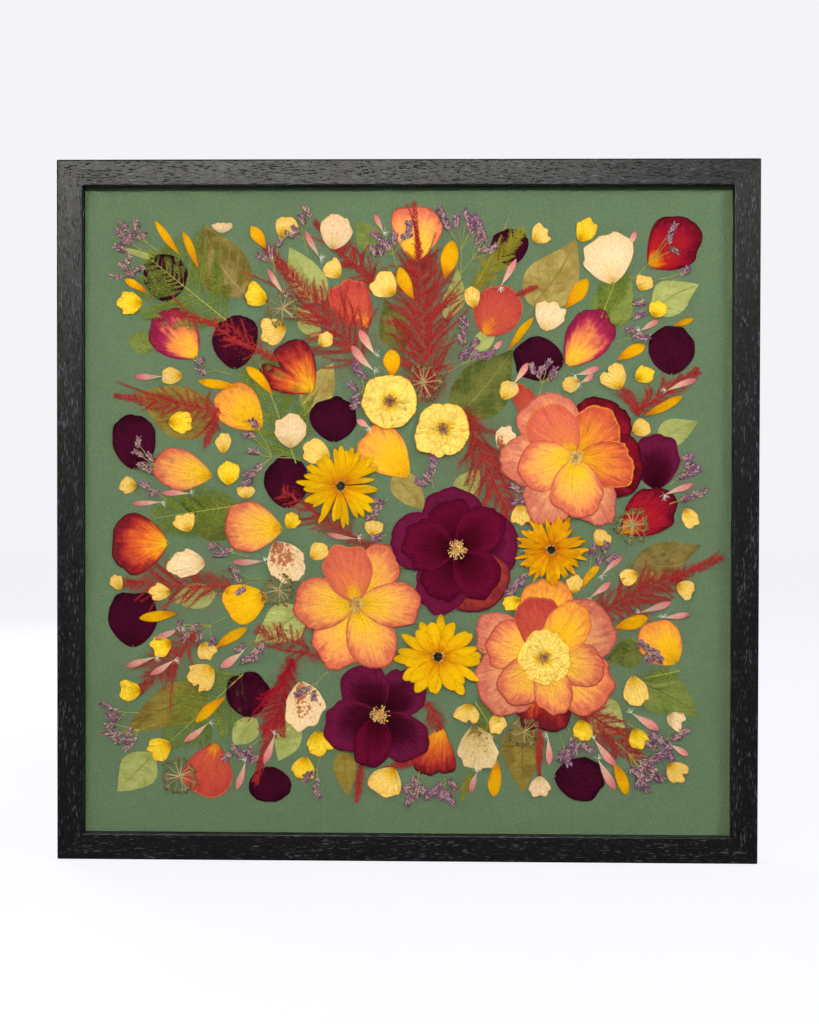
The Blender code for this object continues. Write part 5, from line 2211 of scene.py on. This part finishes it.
@dataclass(frozen=True)
class BlackWood:
    """Open-grained wood under black stain, with short pale pores along the rail, painted brighter as glints
    where they catch the light.

    Attributes:
        name: The material's name.
        grain: How fine the pores are along each axis.
        dark: The stain's darkest tone.
        light: Its lightest tone.
        fleck: The light grey of the pores: their pale tone, with a painted glint where they catch the light.
        roughness: How matt the stain is.
        gloss: How strongly it mirrors.
        relief: How deep the pores are, in metres.
    """

    name: str
    grain: tuple
    dark: tuple = ink(5, 5, 6)
    light: tuple = ink(12, 12, 13)
    fleck: tuple = ink(86, 88, 94)
    roughness: float = 0.33
    gloss: float = 0.46
    relief: float = 0.00018

    def make(self) -> bpy.types.Material:
        """Make the material.

        Returns:
            The material.
        """
        shader = Shader(self.name, self.roughness, self.gloss)
        place = shader.place()
        pores = shader.noise(shader.stretched(place, self.grain), 1.0, 3.0)
        lie = shader.noise(shader.stretched(place, tuple(g * 0.2 for g in self.grain)), 1.0, 2.0)
        mixed = shader.sums("ADD", pores, shader.shift(lie, 0.3))
        # Painted highlight: the pore flecks are light grey partly as pale grain and partly as glints where
        # the pores catch the light.
        fleck = shader.mask(mixed, 0.58, 0.68)
        colour = shader.mix(shader.mask(lie, 0.3, 0.7), self.dark, self.light)
        colour = shader.mix(fleck, colour, self.fleck)
        relief = shader.sums("SUBTRACT", shader.sums("MULTIPLY", pores, 0.5), shader.mask(mixed, 0.40, 0.32))
        return shader.finish(colour, relief, self.relief)


@dataclass
class Moulding:
    """The four rails, each with its grain along its length, and the filler in their mitres.

    Attributes:
        across: How fine the pores are across the grain.
        along: How fine they are along it.
        filler: How wide the filler in a mitre is, in metres.
        filler_depth: How deep it goes.
        inset: How far it stays inside the frame's edges.
    """

    across: float = 1100.0
    along: float = 190.0
    filler: float = 0.0007
    filler_depth: float = 0.005
    inset: float = 0.0004

    def build(self) -> None:
        """Dress the rails and fill their mitres."""
        level = BlackWood("black_wood_level", (self.along, self.across, self.across)).make()
        upright = BlackWood("black_wood_upright", (self.across, self.across, self.along)).make()
        dress(level, "rail_top", "rail_bottom")
        dress(upright, "rail_left", "rail_right")
        for side_x in (-1, 1):
            for side_z in (-1, 1):
                self.add_filler(side_x, side_z, level)

    def add_filler(self, side_x: int, side_z: int, material: bpy.types.Material) -> None:
        """Fill one mitre's joint with stained filler, flush with the face.

        Args:
            side_x: Which side it is on, -1 for left and 1 for right.
            side_z: Which end it is at, -1 for the bottom and 1 for the top.
            material: Its finish.
        """
        low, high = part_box("rail_top" if side_z > 0 else "rail_bottom")
        edge_x = high.x if side_x > 0 else low.x
        edge_z = high.z if side_z > 0 else low.z
        face = high.z - low.z
        corner = Vector((edge_x - side_x * self.inset, low.y, edge_z - side_z * self.inset))
        inner = Vector((edge_x - side_x * (face - self.inset), low.y, edge_z - side_z * (face - self.inset)))
        wide = Vector((side_x, 0, -side_z)).normalized() * self.filler / 2
        deep = Vector((0, self.filler_depth, 0))
        front = Vector((0, self.inset / 4, 0))
        ends = [end + front + back for back in (deep * 0, deep) for end in (corner, inner)]
        points = [tuple(end + offset) for end in ends for offset in (wide, -wide)]
        name = f"mitre_filler_{'right' if side_x > 0 else 'left'}_{'top' if side_z > 0 else 'bottom'}"
        mesh = bpy.data.meshes.new(name)
        sides = [(0, 1, 3, 2), (4, 6, 7, 5), (0, 2, 6, 4), (1, 5, 7, 3), (0, 4, 5, 1), (2, 3, 7, 6)]
        mesh.from_pydata(points, [], sides)
        mesh.materials.append(material)
        piece = bpy.data.objects.new(name, mesh)
        bpy.context.scene.collection.objects.link(piece)
        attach(piece, BODY)


class Package:
    """What the rebate holds: glass, slips, board, backing and tape."""

    def build(self) -> None:
        """Dress each sheet and strip."""
        dress(self.glass(), "glass")
        dress(self.slip(), *(f"slip_{side}" for side in SIDES))
        dress(self.board(), "mount_board")
        dress(self.backing(), "backing_board")
        dress(self.tape(), *(f"tape_{side}" for side in SIDES))

    def glass(self) -> bpy.types.Material:
        """Clear low-reflection picture glass that lets the lamps through to the board.

        Returns:
            The material.
        """
        shader = Shader("picture_glass", 0.02, 0.5)
        nodes, links = shader.tree.nodes, shader.tree.links
        nodes.remove(shader.base)
        pane = shader.node("BsdfGlass", {"Roughness": 0.0, "IOR": 1.055})
        clear = shader.node("BsdfTransparent")
        lamp = shader.node("LightPath").outputs["Is Shadow Ray"]
        both = shader.node("MixShader", {0: lamp, 1: pane.outputs[0], 2: clear.outputs[0]})
        links.new(both.outputs[0], nodes["Material Output"].inputs["Surface"])
        return shader.material

    def slip(self) -> bpy.types.Material:
        """Matt black slips.

        Returns:
            The material.
        """
        shader = Shader("black_slip", 0.8)
        fleck = shader.noise(shader.place(), 900.0, 2.0)
        return shader.finish(shader.mix(fleck, ink(12, 12, 12), ink(26, 27, 26)), fleck, 0.0001)

    def board(self) -> bpy.types.Material:
        """Green board faced with paper that has a fine fibre.

        Returns:
            The material.
        """
        shader = Shader("green_board", 0.92)
        place = shader.place()
        fibre = shader.noise(place, 900.0, 4.0)
        cloud = shader.noise(place, 130.0, 4.0)
        colour = shader.mix(shader.mask(fibre, 0.3, 0.7), ink(84, 105, 76), ink(106, 127, 96))
        colour = shader.mix(shader.mask(cloud, 0.3, 0.7, 0.35), colour, ink(86, 112, 84))
        return shader.finish(colour, fibre, 0.00015)

    def backing(self) -> bpy.types.Material:
        """Raw fibreboard.

        Returns:
            The material.
        """
        shader = Shader("fibreboard", 0.85)
        place = shader.place()
        fibre = shader.noise(place, 700.0, 5.0)
        colour = shader.mix(shader.mask(fibre, 0.35, 0.65), ink(138, 103, 69), ink(175, 136, 94))
        patches = shader.mask(shader.noise(place, 25.0, 3.0), 0.35, 0.7, 0.4)
        colour = shader.mix(patches, colour, ink(124, 92, 60))
        return shader.finish(colour, fibre, 0.0002)

    def tape(self) -> bpy.types.Material:
        """Brown gummed paper tape.

        Returns:
            The material.
        """
        shader = Shader("gummed_tape", 0.55)
        place = shader.place()
        crease = shader.noise(shader.stretched(place, (1.0, 1.0, 1.6)), 120.0, 4.0)
        colour = shader.mix(shader.mask(crease, 0.3, 0.7), ink(164, 126, 82), ink(184, 146, 100))
        return shader.finish(colour, crease, 0.0004)


class BackFittings:
    """The hanger, its nails and the bumpers."""

    def build(self) -> None:
        """Dress them."""
        plate = Shader("zinc_plate", 0.38)
        plate.base.inputs["Metallic"].default_value = 1.0
        place = plate.place()
        brushed = plate.noise(plate.stretched(place, (40.0, 1.0, 900.0)), 1.0, 3.0)
        colour = plate.mix(brushed, ink(166, 160, 146), ink(206, 200, 186))
        dress(plate.finish(colour, brushed, 0.00005), "hanger_plate", "nail_left", "nail_right")
        rubber = Shader("soft_rubber", 0.7)
        grain = rubber.noise(rubber.place(), 1400.0, 2.0)
        colour = rubber.mix(grain, ink(28, 28, 28), ink(44, 44, 44))
        dress(rubber.finish(colour, grain, 0.0001), "bumper_left", "bumper_right")


# --- studio


@dataclass
class Studio:
    """The camera, the floor, the pale surround and the soft lights.

    Attributes:
        eye: The camera's place, from the middle of the frame's front: right, back and up, in metres.
        pitch: How far it looks down, in degrees.
        yaw: How far it looks left.
        roll: How far it leans.
        lens: Its focal length on a 36 mm sensor.
        floor_size: How far the floor reaches to each side.
        floor_glow: How much the floor's own brightness lifts what the camera sees of it.
        surround: The colour of the wall behind.
        fill: The colour of the even light from all round.
        fill_range: How strong that light is from below and from above.
        lamps: Each lamp's name, its place from the middle of the frame's front, size, power and hue.
    """

    eye: tuple = (0.04324, -1.50104, 0.02780)
    pitch: float = 1.07923
    yaw: float = 1.56262
    roll: float = 0.15824
    lens: float = 70.31
    floor_size: float = 6.0
    floor_glow: tuple = (0.825, 0.82, 0.86)
    surround: tuple = (0.905, 0.900, 0.940)
    fill: tuple = (0.97, 0.97, 1.0)
    fill_range: tuple = (0.05, 0.42)
    lamps: tuple = (
        ("key_light", (1.2, -1.15, 0.75), (0.45, 0.45), 7.5, COOL),
        ("high_light", (-0.30, -1.7, 0.70), (1.3, 0.3), 17.0, WARM),
        ("back_light", (-1.2, 1.8, 0.9), (1.0, 1.0), 20.0, COOL),
    )

    def build(self) -> None:
        """Set up the studio."""
        scene = bpy.context.scene
        scene.view_settings.view_transform = "Standard"
        self.add_camera(scene)
        self.add_floor()
        self.add_surround(scene)
        for lamp in self.lamps:
            self.add_lamp(*lamp)

    def add_camera(self, scene: bpy.types.Scene) -> None:
        """Add the camera, which sees the frame from straight in front.

        Args:
            scene: The scene.
        """
        data = bpy.data.cameras.new("camera")
        data.lens = self.lens
        data.sensor_width = 36.0
        camera = bpy.data.objects.new("camera", data)
        turned = Matrix.Rotation(math.radians(self.roll), 3, "Z")
        turned = turned @ Matrix.Rotation(math.radians(self.yaw), 3, "Y")
        turned = turned @ Matrix.Rotation(math.radians(self.pitch), 3, "X")
        look = turned @ Matrix(((1, 0, 0), (0, 0, -1), (0, 1, 0)))
        axes = Matrix((look[0], -look[1], -look[2])).transposed().to_4x4()
        place = Vector(self.eye) + Vector((MIDDLE_X, FRONT_Y, MIDDLE_Z))
        camera.matrix_world = Matrix.Translation(place) @ axes
        scene.collection.objects.link(camera)
        scene.camera = camera

    def add_floor(self) -> None:
        """Add the plain pale floor that the frame stands on."""
        mesh = bpy.data.meshes.new("floor")
        size = self.floor_size
        low = CAD_BOX[0].z - 0.0002
        corners = [(x, y, low) for x, y in ((-size, -size), (size, -size), (size, size), (-size, size))]
        mesh.from_pydata(corners, [], [(0, 1, 2, 3)])
        shader = Shader("pale_floor", 0.9)
        mottle = shader.noise(shader.place(), 3.0, 2.0)
        material = shader.finish(shader.mix(mottle, (0.21, 0.21, 0.22), (0.23, 0.23, 0.24)))
        glow = shader.node("Emission", {"Color": (*self.floor_glow, 1.0)})
        seen = shader.node("AddShader", {0: shader.base.outputs[0], 1: glow.outputs[0]})
        eye = shader.node("LightPath").outputs["Is Camera Ray"]
        both = shader.node("MixShader", {0: eye, 1: shader.base.outputs[0], 2: seen.outputs[0]})
        shader.tree.links.new(both.outputs[0], shader.tree.nodes["Material Output"].inputs["Surface"])
        mesh.materials.append(material)
        floor = bpy.data.objects.new("floor", mesh)
        bpy.context.scene.collection.objects.link(floor)

    def add_surround(self, scene: bpy.types.Scene) -> None:
        """Add the even pale light from all round.

        Args:
            scene: The scene.
        """
        world = bpy.data.worlds.new("surround")
        world.use_nodes = True
        tree = world.node_tree
        seen = tree.nodes["Background"]
        seen.inputs["Color"].default_value = (*self.surround, 1.0)
        seen.inputs["Strength"].default_value = 1.0
        felt = tree.nodes.new("ShaderNodeBackground")
        felt.inputs["Color"].default_value = (*self.fill, 1.0)
        way = tree.nodes.new("ShaderNodeTexCoord")
        parts = tree.nodes.new("ShaderNodeSeparateXYZ")
        rise = tree.nodes.new("ShaderNodeMapRange")
        rise.inputs["To Min"].default_value, rise.inputs["To Max"].default_value = self.fill_range
        tree.links.new(way.outputs["Generated"], parts.inputs[0])
        tree.links.new(parts.outputs["Z"], rise.inputs["Value"])
        tree.links.new(rise.outputs["Result"], felt.inputs["Strength"])
        mix = tree.nodes.new("ShaderNodeMixShader")
        path = tree.nodes.new("ShaderNodeLightPath")
        tree.links.new(path.outputs["Is Camera Ray"], mix.inputs[0])
        tree.links.new(felt.outputs[0], mix.inputs[1])
        tree.links.new(seen.outputs[0], mix.inputs[2])
        tree.links.new(mix.outputs[0], tree.nodes["World Output"].inputs["Surface"])
        scene.world = world

    def add_lamp(self, name: str, offset: tuple, size: tuple, power: float, hue: tuple) -> None:
        """Add a soft lamp that points at the middle of the frame's front.

        Args:
            name: The lamp's name.
            offset: Where it stands, from that middle.
            size: How wide and how high it is.
            power: Its power in watts.
            hue: The colour of its light.
        """
        target = Vector((MIDDLE_X, FRONT_Y, MIDDLE_Z))
        place = target + Vector(offset)
        data = bpy.data.lights.new(name, "AREA")
        data.shape = "RECTANGLE"
        data.size, data.size_y = size
        data.energy = power
        data.color = hue
        lamp = bpy.data.objects.new(name, data)
        turn = (target - place).to_track_quat("-Z", "Y").to_matrix().to_4x4()
        lamp.matrix_world = Matrix.Translation(place) @ turn
        lamp.visible_camera = False
        bpy.context.scene.collection.objects.link(lamp)


def write_sizes() -> None:
    """Bring the view layer up to date."""
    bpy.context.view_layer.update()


def main() -> None:
    """Build the studio, then the frame, then the pressed pieces from the lowest to the top ones."""
    logging.basicConfig(level=logging.INFO, format="%(message)s")
    Studio().build()
    Moulding().build()
    Package().build()
    BackFittings().build()
    groups = (Leaves(), Fronds(), SinglePetals(), Plumes(), Umbels(), Statice(), RayFlorets(), PinkFlorets())
    for group in groups:
        group.build()
    for group in (*SMALL_PETALS, *BLOOMS, *CALENDULAS):
        group.build()
    write_sizes()


if __name__ == "__main__":
    main()
